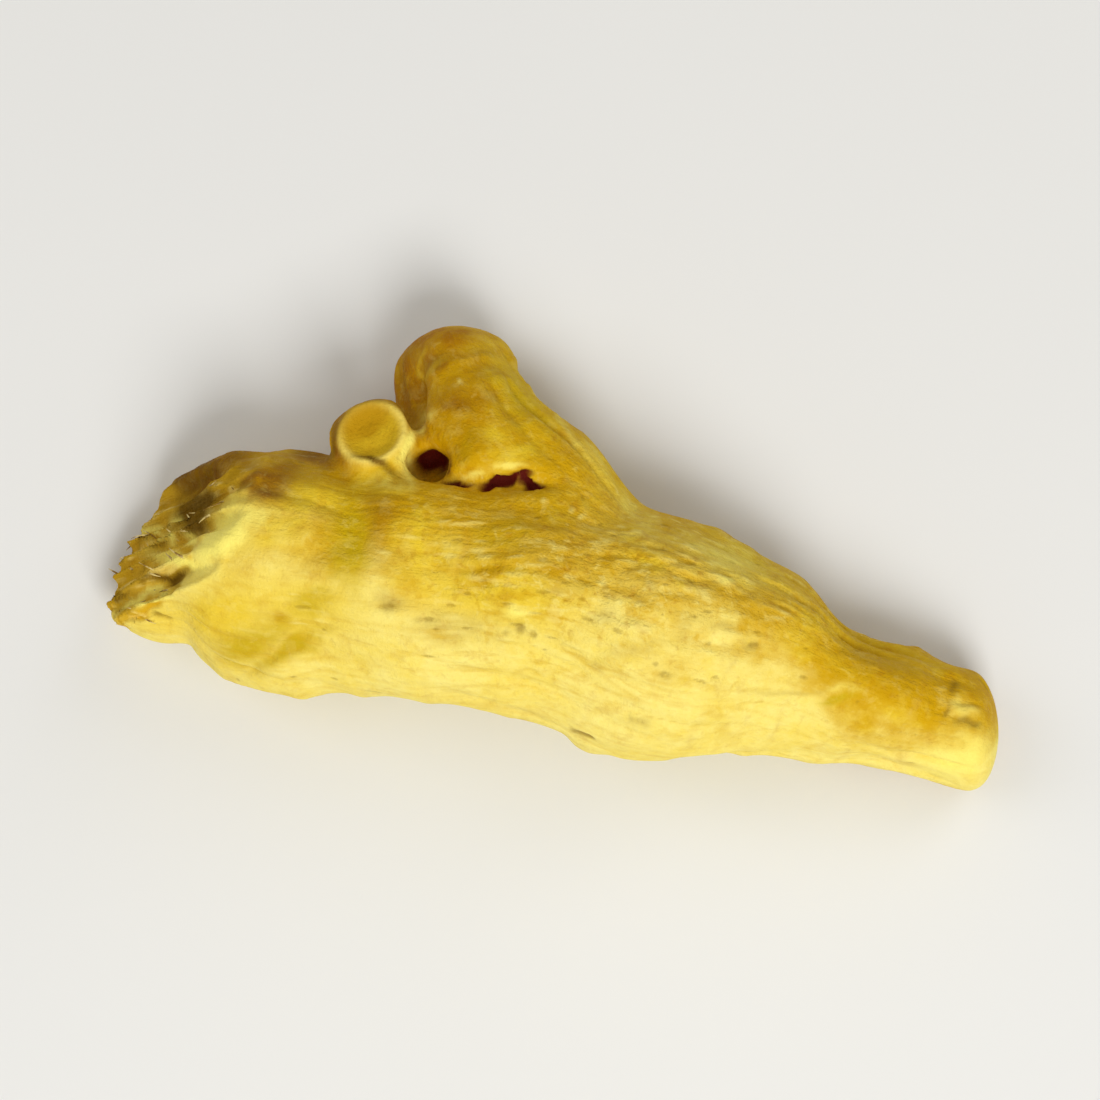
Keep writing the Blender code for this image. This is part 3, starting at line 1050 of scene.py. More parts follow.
    def depth(self, ground: Ground, limbs: Sequence[Limb], relief: DriedRelief) -> Array:
        """Works out how deep the fine relief is, and fills in the marks.

        Args:
            ground: The skin before its fine relief.
            limbs: The limbs that have lines of their own.
            relief: The large relief.

        Returns:
            The depth at each point, in millimetres.
        """
        smooth, points, normals, places = ground
        shares = relief.weights([at.out for at in places])
        unrolled = [relief.unrolled(at) for at in places]
        lines = np.array([self.limb_lines(limb, at, relief) for limb, at in zip(limbs, unrolled)])
        furrow, crease, ring = (lines * shares[:, None]).sum(axis=0)
        forwards = unit((np.array([at.forwards for at in places]) * shares[..., None]).sum(axis=0))

        scar = self.torn_part(smooth)
        stub_face = relief.snapped(smooth)
        plain = (1 - scar) * (1 - stub_face)
        wavy = seen(points) + 0.26 * np.stack([waves(points, 4.4, 74), waves(points, 4.4, 75)], axis=1)
        wavy += 0.06 * np.stack([waves(points, 1.4, 76), waves(points, 1.4, 77)], axis=1)
        on_top = smooth_step(-0.15, 0.2, normals[:, 2])
        band, shade_side = self.band_and_side(points, wavy, places[0].angle, on_top)
        roughened = np.clip(0.35 + shade_side + band, 0, 1)

        pit_depth, pit = self.pits.read(points, forwards, (0.03 + 3.0 * band) * plain)
        spot_depth, spot = self.spots.read(points, forwards, (0.3 + shade_side) * plain)
        speck_height, speck = self.specks.read(points, forwards, (0.02 + 3.0 * band) * plain * on_top)

        grain = relief.grain_places(smooth)
        torn = np.abs(waves(grain * (0.15, 1, 0.2), self.fibre_length, 71))
        short_lines = np.abs(waves(unrolled[0] * (1, 1, 0.4), 2.0, 65))

        radius, over, lit_side = self.stub_plane(points)
        rim = bell(radius - self.stub_radius, 0.3) * bell(over, 1.0)
        sink = stub_face * smooth_step(self.stub_radius - 0.1, 1.2, radius)
        bevel = stub_face * smooth_step(self.stub_radius + 0.3, 4.2, radius)

        nub, nub_height = self.rootlet_scars(points)
        bud = self.bud_ring(points)
        picture = seen(points)
        picture[:, 1] += 0.12 * waves(points, 1.8, 79)
        hole = self.patches(picture, Mark.HOLE) * on_top

        turned = np.cos(places[1].angle) + 0.15 * waves(points, 3.0, 66)
        lined = np.array([limb.plain_end(at.along) for limb, at in zip(limbs, places)])
        self.marks = {
            Mark.FURROW: furrow * plain,
            Mark.RIDGE: np.clip((1 - furrow) * (1 - crease) * plain, 0, 1),
            Mark.RING: ring * plain,
            Mark.PIT: np.maximum(pit, 0.8 * spot),
            Mark.SPECK: speck,
            Mark.SCAR: scar,
            Mark.STREAK: smooth_step(0.9, 0.1, torn),
            Mark.STUB_FACE: stub_face * smooth_step(self.stub_radius + 0.5, self.stub_radius, radius),
            # The stub's rim is paler on its lit side: painted light.
            Mark.STUB_RIM: rim * (0.2 + 0.8 * lit_side),
            Mark.LIT_SIDE: lit_side,
            Mark.SHADE_SIDE: shade_side,
            # The finger's mark leans to its left side, away from the light, so its umber is partly painted
            # shade.
            Mark.FINGER: smooth_step(4, 14, points[:, 1]) * shares[1] * smooth_step(-0.85, 0.0, turned),
            Mark.BUD: bud,
            Mark.BAND: np.clip(band, 0, 1),
            Mark.NUB: nub,
            Mark.LINED: (shares * lined).sum(axis=0),
        }
        for kind in PATCHES:
            self.marks[kind] = self.patches(wavy, kind) * on_top
        self.marks[Mark.HOLE] = hole
        depth = plain * roughened * (self.furrow_depth * furrow + self.crease_depth * crease)
        depth += plain * self.ring_groove_depth * ring
        depth += np.maximum(pit_depth, spot_depth) - nub_height - speck_height
        depth += plain * band * self.band_depth * (0.8 - np.minimum(short_lines, 1.6))
        depth += self.fold_depth(wavy) * on_top + self.dark_depth * self.marks[Mark.DARK] * (1 - stub_face)
        depth += scar * self.fibre_depth * (np.minimum(torn, 1.2) - 0.5)
        depth += self.face_sink * sink + self.bevel * bevel - self.rim_height * rim
        depth += self.hole_depth * smooth_step(0.35, 0.9, hole) - self.bud_height * bud
        return depth - hollow_depth(points, (self.chin,))


@dataclass
class RootSkin:
    """The whole root: body, side finger, stub and swellings, fused into one fine skin.

    Attributes:
        cube: The size of the cubes that the limbs are fused with, in millimetres.
        rounding: How far the fused skin is rounded, as smoothing steps times the cubes' face area.
        rest_cut: How far up the lowest places are cut flat.
    """

    cube: float = 0.242
    rounding: float = 16 * 0.55**2
    rest_cut: float = 0.35
    relief: DriedRelief = DriedRelief()
    fine: FineRelief = field(default_factory=FineRelief)
    limbs: tuple[Limb, ...] = (BODY, FINGER, STUB)
    swellings: tuple[Limb, ...] = (KNUCKLE, FAR_BUD, NEAR_BUD, TIP_BUD)

    def smooth_form(self) -> bpy.types.Mesh:
        """Fuses the limbs into one smooth closed skin.

        Returns:
            The mesh, in metres in the design frame.
        """
        together = bmesh.new()
        for limb in self.limbs + self.swellings:
            shape = limb.surface()
            if limb is BODY:
                slice_off(shape, BROKEN_END)
            if limb is STUB:
                slice_off(shape, STUB_FACE)
            mesh = bpy.data.meshes.new("limb")
            shape.to_mesh(mesh)
            shape.free()
            together.from_mesh(mesh)
            bpy.data.meshes.remove(mesh)
        bmesh.ops.scale(together, vec=(MM, MM, MM), verts=together.verts)
        limbs = bpy.data.meshes.new("limbs")
        together.to_mesh(limbs)
        together.free()
        steps = round(self.rounding / self.cube**2)
        return evaluated(
            limbs,
            (
                ("REMESH", {"mode": "VOXEL", "voxel_size": self.cube * MM}),
                ("SMOOTH", {"factor": 0.5, "iterations": steps}),
            ),
        )

    def build(self) -> bpy.types.Object:
        """Makes the root's skin, in its place on the frame.

        Returns:
            The finished object, with its marks as attributes.
        """
        mesh = self.smooth_form()
        points, normals = read(mesh, "co"), read(mesh, "normal")
        places = [limb.skin_places(points) for limb in self.limbs]
        smooth = points
        points = points + normals * self.relief.height(points, self.limbs, places)[:, None]
        put_points(mesh, points)

        ground = Ground(smooth, points, read(mesh, "normal"), places)
        depth = self.fine.depth(ground, self.limbs, self.relief)
        finished = points - ground.normals * depth[:, None]
        low, high = (np.array(corner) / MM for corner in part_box(NODE))
        shift = (low + high) / 2 - (points.min(axis=0) + points.max(axis=0)) / 2
        shift[2] = -self.rest_cut
        finished += shift
        finished[:, 2] = np.maximum(finished[:, 2], 0)
        finished[:, :2] = np.clip(finished[:, :2], low[:2], high[:2])
        put_points(mesh, finished)

        for mark, values in self.fine.marks.items():
            add_attribute(mesh, mark.value, values)
        add_attribute(mesh, Place.ALONG_BODY.value, self.relief.unrolled(places[0]))
        add_attribute(mesh, Place.ALONG_FINGER.value, self.relief.unrolled(places[1]))
        add_attribute(mesh, Place.ALONG_GRAIN.value, self.relief.grain_places(ground.smooth))
        mesh.name = "turmeric_root_skin"
        mesh.shade_smooth()
        return add_object("turmeric_root_skin", mesh)


@dataclass
class TornFibres:
    """Stiff fibres that stand out of the broken end, where the root tore off its mother root.

    Attributes:
        count: How many fibres.
        length: Their shortest and longest length, in millimetres.
        radius: Their thinnest and thickest foot.
    """

    count: int = 80
    length: tuple[float, float] = (0.7, 1.8)
    radius: tuple[float, float] = (0.07, 0.14)
    sides: int = 6
    rings: int = 9
    seed: int = 91

    def centres(self, feet: Array, normals: Array, draw: np.random.Generator) -> Array:
        """Works out the fibres' middle lines.

        At the share t of its length, a fibre is at foot + length (t way + bend t^2 sideways), where the
        way is mostly along the grain and a little out of the flesh.

        Args:
            feet: Where the fibres stand, in millimetres.
            normals: The flesh's normals there.
            draw: The source of random numbers.

        Returns:
            Points by fibre, ring and coordinate.
        """
        lengths = draw.uniform(*self.length, (self.count, 1, 1))
        along = unit(np.cross(np.cross(normals, unit(np.array(GRAIN))), normals))
        along *= np.sign(draw.uniform(-1, 1, (self.count, 1)))
        way = unit(along + 0.08 * normals + 0.07 * draw.normal(size=(self.count, 3)))
        bend = 0.3 * draw.normal(size=(self.count, 1)) * unit(np.cross(way, normals)) - 0.1 * normals
        t = np.linspace(0, 1, self.rings)[None, :, None]
        return feet[:, None] - 0.12 * normals[:, None] + lengths * (t * way[:, None] + t**2 * bend[:, None])

    def build(self, skin: bpy.types.Object) -> bpy.types.Object:
        """Sets the fibres on the torn part of the skin.

        Round each middle line, the surface is centre + radius (1 - 0.8 t) (cos(a) side + sin(a) up).

        Args:
            skin: The root's finished skin, with its marks.

        Returns:
            The fibres, as one object.
        """
        draw = np.random.default_rng(self.seed)
        torn = read_mark(skin.data, Mark.SCAR)
        chance = np.where(torn > 0.9, torn, 0)
        chosen = draw.choice(len(torn), self.count, replace=False, p=chance / chance.sum())
        feet, normals = read(skin.data, "co")[chosen], read(skin.data, "normal")[chosen]
        centres = self.centres(feet, normals, draw)
        forwards = unit(np.gradient(centres, axis=1))
        side = unit(np.cross(forwards, normals[:, None]))
        up = np.cross(side, forwards)
        t = np.linspace(0, 1, self.rings)
        radius = draw.uniform(*self.radius, (self.count, 1)) * (1 - 0.8 * t)
        angle = np.linspace(0, 2 * math.pi, self.sides, endpoint=False)
        round_it = np.cos(angle)[:, None] * side[:, :, None] + np.sin(angle)[:, None] * up[:, :, None]
        points = centres[:, :, None] + radius[:, :, None, None] * round_it
        points = np.concatenate([centres[:, :1, None].repeat(self.sides, 2), points], axis=1)
        return self.as_object(points, centres[:, -1])

    def as_object(self, grid: Array, tips: Array) -> bpy.types.Object:
        """Joins the fibres' rings into tubes that are closed at both ends.

        Args:
            grid: Points by fibre, ring, side and coordinate. The first ring is one point.
            tips: The end of each fibre.

        Returns:
            The object.
        """
        fibres = bmesh.new()
        for rings, tip in zip(grid, tips):
            last = np.repeat(tip[None, None], self.sides, axis=1)
            tube = closed_grid(np.concatenate([rings, last]))
            mesh = bpy.data.meshes.new("tube")
            tube.to_mesh(mesh)
            tube.free()
            fibres.from_mesh(mesh)
            bpy.data.meshes.remove(mesh)
        bmesh.ops.scale(fibres, vec=(MM, MM, MM), verts=fibres.verts)
        mesh = bpy.data.meshes.new("torn_fibres")
        fibres.to_mesh(mesh)
        fibres.free()
        mesh.shade_smooth()
        return add_object("torn_fibres", mesh)


def slice_off(shape: bmesh.types.BMesh, cut: Cut) -> None:
    """Cuts away what lies beyond a plane, and closes the opening with a flat face.

    Args:
        shape: The mesh to cut, in millimetres.
        cut: The plane.
    """
    bmesh.ops.bisect_plane(
        shape,
        geom=shape.verts[:] + shape.edges[:] + shape.faces[:],
        dist=1e-5,
        plane_co=cut.point,
        plane_no=cut.facing,
        clear_outer=True,
    )
    bmesh.ops.holes_fill(shape, edges=[edge for edge in shape.edges if edge.is_boundary])
    bmesh.ops.recalc_face_normals(shape, faces=shape.faces)


def evaluated(mesh: bpy.types.Mesh, modifiers: Sequence[tuple[str, dict[str, Any]]]) -> bpy.types.Mesh:
    """Runs a mesh through modifiers.

    Args:
        mesh: The mesh to start from, which is removed.
        modifiers: Each modifier's type and settings.

    Returns:
        A new mesh.
    """
    holder = bpy.data.objects.new("holder", mesh)
    bpy.context.scene.collection.objects.link(holder)
    for kind, settings in modifiers:
        modifier = holder.modifiers.new(kind, kind)
        for setting, value in settings.items():
            setattr(modifier, setting, value)
    graph = bpy.context.evaluated_depsgraph_get()
    made = bpy.data.meshes.new_from_object(holder.evaluated_get(graph))
    bpy.data.objects.remove(holder)
    bpy.data.meshes.remove(mesh)
    return made


def read(mesh: bpy.types.Mesh, what: str) -> Array:
    """Reads a mesh's vertices.

    Args:
        mesh: The mesh, in metres.
        what: The vertex attribute: co or normal.

    Returns:
        The coordinates in millimetres, or the normals, one row a vertex.
    """
    numbers = np.empty(len(mesh.vertices) * 3)
    mesh.vertices.foreach_get(what, numbers)
    return numbers.reshape(-1, 3) / (MM if what == "co" else 1)


def read_mark(mesh: bpy.types.Mesh, mark: Mark) -> Array:
    """Reads one of the skin's marks.

    Args:
        mesh: The skin.
        mark: The mark.

    Returns:
        Its value at every vertex.
    """
    numbers = np.empty(len(mesh.vertices))
    mesh.attributes[mark.value].data.foreach_get("value", numbers)
    return numbers


def put_points(mesh: bpy.types.Mesh, points: Array) -> None:
    """Moves a mesh's vertices to points that are in millimetres."""
    mesh.vertices.foreach_set("co", (points * MM).ravel())
    mesh.update()


def add_attribute(mesh: bpy.types.Mesh, name: str, values: Array) -> None:
    """Stores an attribute that materials can read.

    Args:
        mesh: The mesh.
        name: The attribute's name.
        values: One number or one vector for each vertex.
    """
    is_vector = values.ndim == 2
    attribute = mesh.attributes.new(name, "FLOAT_VECTOR" if is_vector else "FLOAT", "POINT")
    attribute.data.foreach_set("vector" if is_vector else "value", values.astype(np.float32).ravel())


def add_object(name: str, mesh: bpy.types.Mesh) -> bpy.types.Object:
    """Puts a mesh into the scene.

    Args:
        name: The object's name.
        mesh: Its mesh.

    Returns:
        The object, which sits at the origin.
    """
    made = bpy.data.objects.new(name, mesh)
    bpy.context.scene.collection.objects.link(made)
    return made


def colour(red: int, green: int, blue: int) -> Colour:
    """Turns a colour's screen values into the linear ones that shaders take.

    Args:
        red: The red value, from 0 to 255.
        green: The green value.
        blue: The blue value.

    Returns:
        The linear colour, with its alpha.
    """
    share = np.array([red, green, blue]) / 255
    linear = np.where(share <= 0.04045, share / 12.92, ((share + 0.055) / 1.055) ** 2.4)
    return (*linear.tolist(), 1.0)


class Value:
    """A socket that carries one number, and takes part in Python expressions.

    Each operator adds a Math node to the socket's material.
    """

    def __init__(self, graph: Graph, socket: bpy.types.NodeSocket) -> None:
        """Wraps a socket of a graph's material."""
        self.graph = graph
        self.socket = socket

    def math(self, operation: str, *others: Value | float, first: bool = True) -> Value:
        """Adds a Math node.

        Args:
            operation: The node's operation.
            others: Its other numbers.
            first: Whether this value is its first number. Otherwise it is its last.

        Returns:
            The node's result.
        """
        numbers = (self, *others) if first else (*others, self)
        settings = {"operation": operation}
        return self.graph.value("ShaderNodeMath", settings, dict(enumerate(numbers)))

    def __add__(self, other: Value | float) -> Value:
        """Returns this plus the other."""
        return self.math("ADD", other)

    def __sub__(self, other: Value | float) -> Value:
        """Returns this minus the other."""
        return self.math("SUBTRACT", other)

    def __rsub__(self, other: Value | float) -> Value:
        """Returns the other minus this."""
        return self.math("SUBTRACT", other, first=False)

    def __neg__(self) -> Value:
        """Returns this with its sign turned."""
        return self.math("MULTIPLY", -1.0)

    def __mul__(self, other: Value | float) -> Value:
        """Returns this times the other."""
        return self.math("MULTIPLY", other)

    __radd__ = __add__
    __rmul__ = __mul__

    def clamped(self) -> Value:
        """Returns this, held between 0 and 1."""
        return self.math("MAXIMUM", 0.0).math("MINIMUM", 1.0)

    def step(self, low: float, high: float) -> Value:
        """Returns a smooth step: 0 where this is at low, and 1 where it is at high."""
        settings = {"interpolation_type": "SMOOTHSTEP"}
        return self.graph.value("ShaderNodeMapRange", settings, {"Value": self, 1: low, 2: high})


class Graph:
    """A material under construction."""

    def __init__(self, name: str) -> None:
        """Starts a material with one Principled shader.

        Args:
            name: The material's name.
        """
        self.material = bpy.data.materials.new(name)
        self.material.use_nodes = True
        self.tree = self.material.node_tree
        self.shader = self.tree.nodes["Principled BSDF"]

    def node(
        self, kind: str, settings: dict[str, Any] | None = None, inputs: dict[Any, Any] | None = None
    ) -> bpy.types.Node:
        """Adds a node.

        Args:
            kind: The node's type.
            settings: What is set on the node itself, before its sockets.
            inputs: What goes into its sockets, by name or number: a number, a colour, or a link.

        Returns:
            The node.
        """
        made = self.tree.nodes.new(kind)
        for setting, value in (settings or {}).items():
            setattr(made, setting, value)
        for key, value in (inputs or {}).items():
            self.feed(made.inputs[key], value)
        return made

    def feed(self, socket: bpy.types.NodeSocket, value: Any) -> None:
        """Feeds a socket.

        Args:
            socket: The socket.
            value: A value or another socket to link it to, or a plain number or colour to set it to.
        """
        if isinstance(value, Value):
            value = value.socket
        if isinstance(value, bpy.types.NodeSocket):
            self.tree.links.new(value, socket)
        else:
            socket.default_value = value

    def value(
        self, kind: str, settings: dict[str, Any] | None = None, inputs: dict[Any, Any] | None = None,
        output: int | str = 0,
    ) -> Value:
        """Adds a node and returns one of its outputs, as a value for expressions."""
        return Value(self, self.node(kind, settings, inputs).outputs[output])

    def mark(self, mark: Mark) -> Value:
        """Returns one of the skin's marks."""
        return self.value("ShaderNodeAttribute", {"attribute_name": mark.value}, output="Fac")

    def place(self, place: Place, stretch: tuple[float, float, float]) -> bpy.types.NodeSocket:
        """Reads where the surface is on a limb, or along the torn grain.

        Args:
            place: Which of the places.
            stretch: What its three coordinates are multiplied by.

        Returns:
            The place, as a vector.
        """
        at = self.node("ShaderNodeAttribute", {"attribute_name": place.value}).outputs["Vector"]
        inputs = {0: at, 1: stretch}
        return self.node("ShaderNodeVectorMath", {"operation": "MULTIPLY"}, inputs).outputs[0]

    def millimetres(self) -> bpy.types.NodeSocket:
        """Returns Object coordinates, in millimetres."""
        at = self.node("ShaderNodeTexCoord").outputs["Object"]
        return self.node("ShaderNodeVectorMath", {"operation": "SCALE"}, {0: at, "Scale": 1 / MM}).outputs[0]

    def noise(
        self, at: bpy.types.NodeSocket, length: float, detail: float = 3.0, roughness: float = 0.55,
        distortion: float = 0.0,
    ) -> Value:
        """Adds noise.

        Args:
            at: Where it is read, in millimetres.
            length: The size of its largest spots, in millimetres.
            detail: How many finer layers it has.
            roughness: How strong the finer layers are.
            distortion: How far its spots are pulled about.

        Returns:
            The noise, from 0 to 1, mostly near 0.5.
        """
        inputs = {
            "Vector": at, "Scale": 1 / length, "Detail": detail, "Roughness": roughness,
            "Distortion": distortion,
        }
        return self.value("ShaderNodeTexNoise", {}, inputs)

    def mix(self, share: Value | float, first: Any, second: Any) -> bpy.types.NodeSocket:
        """Mixes two colours.

        Args:
            share: The second colour's share.
            first: A colour or a link.
            second: A colour or a link.

        Returns:
            The mixed colour's socket.
        """
        settings = {"data_type": "RGBA", "blend_type": "MIX", "clamp_factor": True}
        return self.node("ShaderNodeMix", settings, {0: share, 6: first, 7: second}).outputs[2]

    def layered(self, under: Any, layers: Sequence[tuple[Value | float, Any]]) -> bpy.types.NodeSocket:
        """Lays colours over a first one, one after another.

        Args:
            under: The lowest colour.
            layers: The share and colour of each layer, from the lowest up.

        Returns:
            The socket of the colour that shows.
        """
        for share, tone in layers:
            under = self.mix(share, under, tone)
        return under


# The colours of the tones, those that lie under the skin's lines and those that lie over them.
# In places brown, olive and dark are painted shade, and pale is painted light.
TONES: dict[Mark, Colour] = {
    Mark.GOLD: colour(234, 200, 46),
    Mark.OCHRE: colour(198, 152, 3),
    Mark.OLIVE: colour(200, 168, 2),
    Mark.BROWN: colour(130, 76, 2),
    Mark.DULL: colour(206, 180, 84),
}
LAST_TONES: dict[Mark, Colour] = {
    Mark.DARK: colour(112, 80, 10),
    Mark.PALE: colour(255, 240, 118),
}
# The dark maroon painted in the crevice's hole and slit: painted shade.
HOLE_TONE = colour(94, 24, 14)


class SkinNoise(NamedTuple):
    """The noises that the rind's colours and bumps share, from the largest spots to the finest."""

    mottle: Value
    blotch: Value
    fleck: Value
    speck: Value
    grain: Value
    lines: Value
    torn: Value


class Spread(NamedTuple):
    """How tones lie on the skin: the marks' gain, their patchiness and its start, and their most."""

    gain: float
    patchiness: float
    start: float
    most: float


@dataclass(frozen=True)
class SkinFinish:
    """Dried turmeric's rind: dusty yellow on what stands out, ochre in what lies back, brown in its pits;
    pale on its lit flank as painted light with its dust, ochre on its shaded side and in its furrows as
    painted shade.
    """

    dust: Colour = colour(248, 230, 128)
    yellow: Colour = colour(238, 205, 46)
    ochre: Colour = colour(208, 161, 3)
    umber: Colour = colour(174, 112, 2)
    pit: Colour = colour(134, 100, 14)
    torn_flesh: Colour = colour(218, 174, 44)
    fibre: Colour = colour(250, 220, 116)
    heart: Colour = colour(184, 140, 14)
    rim: Colour = colour(250, 224, 112)
    specular: float = 0.06
    bump_distance: float = 0.00024

    under: Spread = Spread(gain=1.2, patchiness=1.4, start=0.4, most=0.9)
    over: Spread = Spread(gain=1.3, patchiness=1.0, start=0.3, most=0.92)
    line_stretch: tuple[float, float, float] = (1.0, 1.0, 0.22)
    torn_stretch: tuple[float, float, float] = (0.13, 1.0, 0.4)

    def noises(self, graph: Graph) -> SkinNoise:
        """Adds the noises: spots in all directions, lines along the limbs, and the torn grain.

        Args:
            graph: The rind's material.

        Returns:
            The noises.
        """
        at = graph.millimetres()
        finger = graph.mark(Mark.FINGER)
        along_body = graph.noise(graph.place(Place.ALONG_BODY, self.line_stretch), 0.9, 4.0, 0.6)
        along_finger = graph.noise(graph.place(Place.ALONG_FINGER, self.line_stretch), 0.9, 4.0, 0.6)
        lines = along_body * (1 - finger) + along_finger * finger
        return SkinNoise(
            mottle=graph.noise(at, 6.0, 4.0, 0.6, 0.6),
            blotch=graph.noise(at, 2.1, 4.0, 0.62, 0.5),
            fleck=graph.noise(at, 1.1, 3.0, 0.6, 0.4),
            speck=graph.noise(at, 0.8, 4.0, 0.65),
            grain=graph.noise(at, 0.22, 3.0, 0.6),
            lines=(lines - 0.5) * graph.mark(Mark.LINED) + 0.5,
            torn=graph.noise(graph.place(Place.ALONG_GRAIN, self.torn_stretch), 0.55, 4.0, 0.6),
        )

    def toned(
        self, graph: Graph, skin: Any, noise: SkinNoise, tones: dict[Mark, Colour], spread: Spread
    ) -> bpy.types.NodeSocket:
        """Lays the tones of single places over the skin, with patchy edges.

        Args:
            graph: The rind's material.
            skin: The colour that they lie on.
            noise: The noises.
            tones: The tones' marks and colours.
            spread: How they lie.

        Returns:
            The socket of the toned colour.
        """
        patchy = ((noise.mottle - 0.5) * 0.7 + (noise.speck - 0.5) * 0.5) * spread.patchiness
        for kind, tone in tones.items():
            share = graph.mark(kind)
            share = (share * spread.gain + patchy * share.step(0.0, spread.start)).clamped()
            skin = graph.mix(share * spread.most, skin, tone)
        return skin

    def rind(self, graph: Graph, noise: SkinNoise) -> bpy.types.NodeSocket:
        """Colours the rind: its lit and shaded sides, which carry painted light and painted shade, the
        finger, the tones, and then its lines and pits.

        Args:
            graph: The rind's material.
            noise: The noises.

        Returns:
            The socket of the rind's colour.
        """
        mottle, blotch, fleck, lines = noise.mottle, noise.blotch, noise.fleck, noise.lines
        specks = noise.speck - 0.5
        back, band, nub = graph.mark(Mark.SHADE_SIDE), graph.mark(Mark.BAND), graph.mark(Mark.NUB)
        # The lit lower flank is painted pale: painted light, with the rind's dust. The shaded side is
        # painted ochre: painted shade.
        front = (0.6 + mottle.step(0.36, 0.6) * 0.3 + specks * 0.9).clamped()
        upper = (mottle.step(0.4, 0.7) * 0.6 + specks * 1.3).clamped()
        lit_side = graph.mix(front, self.yellow, self.dust)
        skin = graph.mix(back, lit_side, graph.mix(upper, self.ochre, self.yellow))
        # The finger's umber, mostly on its left side: painted shade, with the finger's own browner skin.
        finger = graph.mark(Mark.FINGER) * (0.45 + mottle.step(0.62, 0.38) * 0.5)
        skin = self.toned(graph, graph.mix(finger, skin, self.umber), noise, TONES, self.under)

        rough_part = (0.3 + band * 0.6 + back * 0.4).clamped()
        pale_lines = lines.step(0.54, 0.7) * (0.2 - back * 0.15 + band * 0.35)
        pit = (graph.mark(Mark.PIT) + specks * 0.9).step(0.35, 0.85)
        raised = (graph.mark(Mark.SPECK) + specks * 0.9).step(0.2, 1.0)
        layers = (
            (blotch.step(0.54, 0.68) * rough_part * 0.65, self.ochre),
            (fleck.step(0.56, 0.7) * rough_part * 0.4, self.umber),
            (fleck.step(0.44, 0.32) * (0.15 + band * 0.3), self.dust),
            (blotch.step(0.46, 0.32) * (0.1 + band * 0.3), self.dust),
            (lines.step(0.5, 0.3) * (0.25 + band * 0.6), self.ochre),
            (pale_lines * graph.mark(Mark.RIDGE), self.dust),
            # Ochre in the furrows: painted shade in the creases, where the rind also has less dust.
            (graph.mark(Mark.FURROW) * 0.3, self.ochre),
            (graph.mark(Mark.RING) * 0.2 * mottle.step(0.3, 0.6), self.umber),
            (graph.mark(Mark.BUD) * 0.35, self.yellow),
            (pit * 0.4, self.pit),
            (raised * 0.45, self.dust),
            ((nub + specks * 0.8).clamped() * 0.55, self.dust),
            ((-nub + specks * 0.7).step(0.15, 0.9) * 0.7, self.pit),
        )
        return graph.layered(skin, layers)

    def flesh(self, graph: Graph, noise: SkinNoise) -> bpy.types.NodeSocket:
        """Colours the torn flesh of the broken end, with its paler fibres.

        Args:
            graph: The rind's material.
            noise: The noises.

        Returns:
            The socket of the flesh's colour.
        """
        streak = (graph.mark(Mark.STREAK) * 0.45 + noise.torn.step(0.36, 0.66) * 0.8 - 0.15).clamped()
        torn = graph.mix(noise.mottle.step(0.6, 0.42) * 0.5, self.torn_flesh, self.ochre)
        return graph.mix(streak.step(0.4, 0.95) * 0.7, torn, self.fibre)

    def material(self) -> bpy.types.Material:
        """Builds the rind's material.

        Returns:
            The material, which reads the skin's marks and places.
        """
        graph = Graph("turmeric_rind")
        noise = self.noises(graph)
        specks, scar = noise.speck - 0.5, graph.mark(Mark.SCAR)
        # The stub's face is yellower on its lit side: painted light.
        face = (graph.mark(Mark.LIT_SIDE) * 0.45 + (noise.mottle - 0.5) * 1.2 + specks * 0.6).clamped()
        layers = (
            (scar, self.flesh(graph, noise)),
            (graph.mark(Mark.STUB_FACE), graph.mix(face, self.heart, self.yellow)),
            (graph.mark(Mark.STUB_RIM) * 0.8, self.rim),
        )
        skin = graph.layered(self.rind(graph, noise), layers)
        skin = self.toned(graph, skin, noise, LAST_TONES, self.over)
        # The crevice's hole and slit painted dark maroon: painted shade.
        skin = graph.mix((graph.mark(Mark.HOLE) + specks * 0.3).step(0.12, 0.7), skin, HOLE_TONE)

        graph.feed(graph.shader.inputs["Base Color"], skin)
        rough = (0.6 + graph.mark(Mark.FURROW) * 0.1 + scar * 0.2 + specks * 0.3).clamped()
        graph.feed(graph.shader.inputs["Roughness"], rough)
        graph.shader.inputs["Specular IOR Level"].default_value = self.specular

        back, band = graph.mark(Mark.SHADE_SIDE), graph.mark(Mark.BAND)
        height = noise.grain * 0.5 + noise.speck * (0.7 + band) + noise.lines * (0.9 + back * 0.4 + band)
        height += noise.torn * scar * 2.5
        inputs = {"Strength": 0.8, "Distance": self.bump_distance, "Height": height}
        graph.feed(graph.shader.inputs["Normal"], graph.node("ShaderNodeBump", {}, inputs).outputs[0])
        return graph.material


@dataclass(frozen=True)
class FibreFinish:
    """Dry torn fibres: straw coloured, and brown in places."""

    straw: Colour = colour(236, 214, 140)
    brown: Colour = colour(140, 104, 36)
    roughness: float = 0.75
    specular: float = 0.2

    def material(self) -> bpy.types.Material:
        """Builds the fibres' material.

        Returns:
            The material, which is brown in patches.
        """
        graph = Graph("turmeric_fibre")
        patches = graph.noise(graph.millimetres(), 1.6, 3.0)
        tone = graph.mix(patches.step(0.4, 0.6), self.brown, self.straw)
        graph.feed(graph.shader.inputs["Base Color"], tone)
        graph.shader.inputs["Roughness"].default_value = self.roughness
        graph.shader.inputs["Specular IOR Level"].default_value = self.specular
        return graph.material


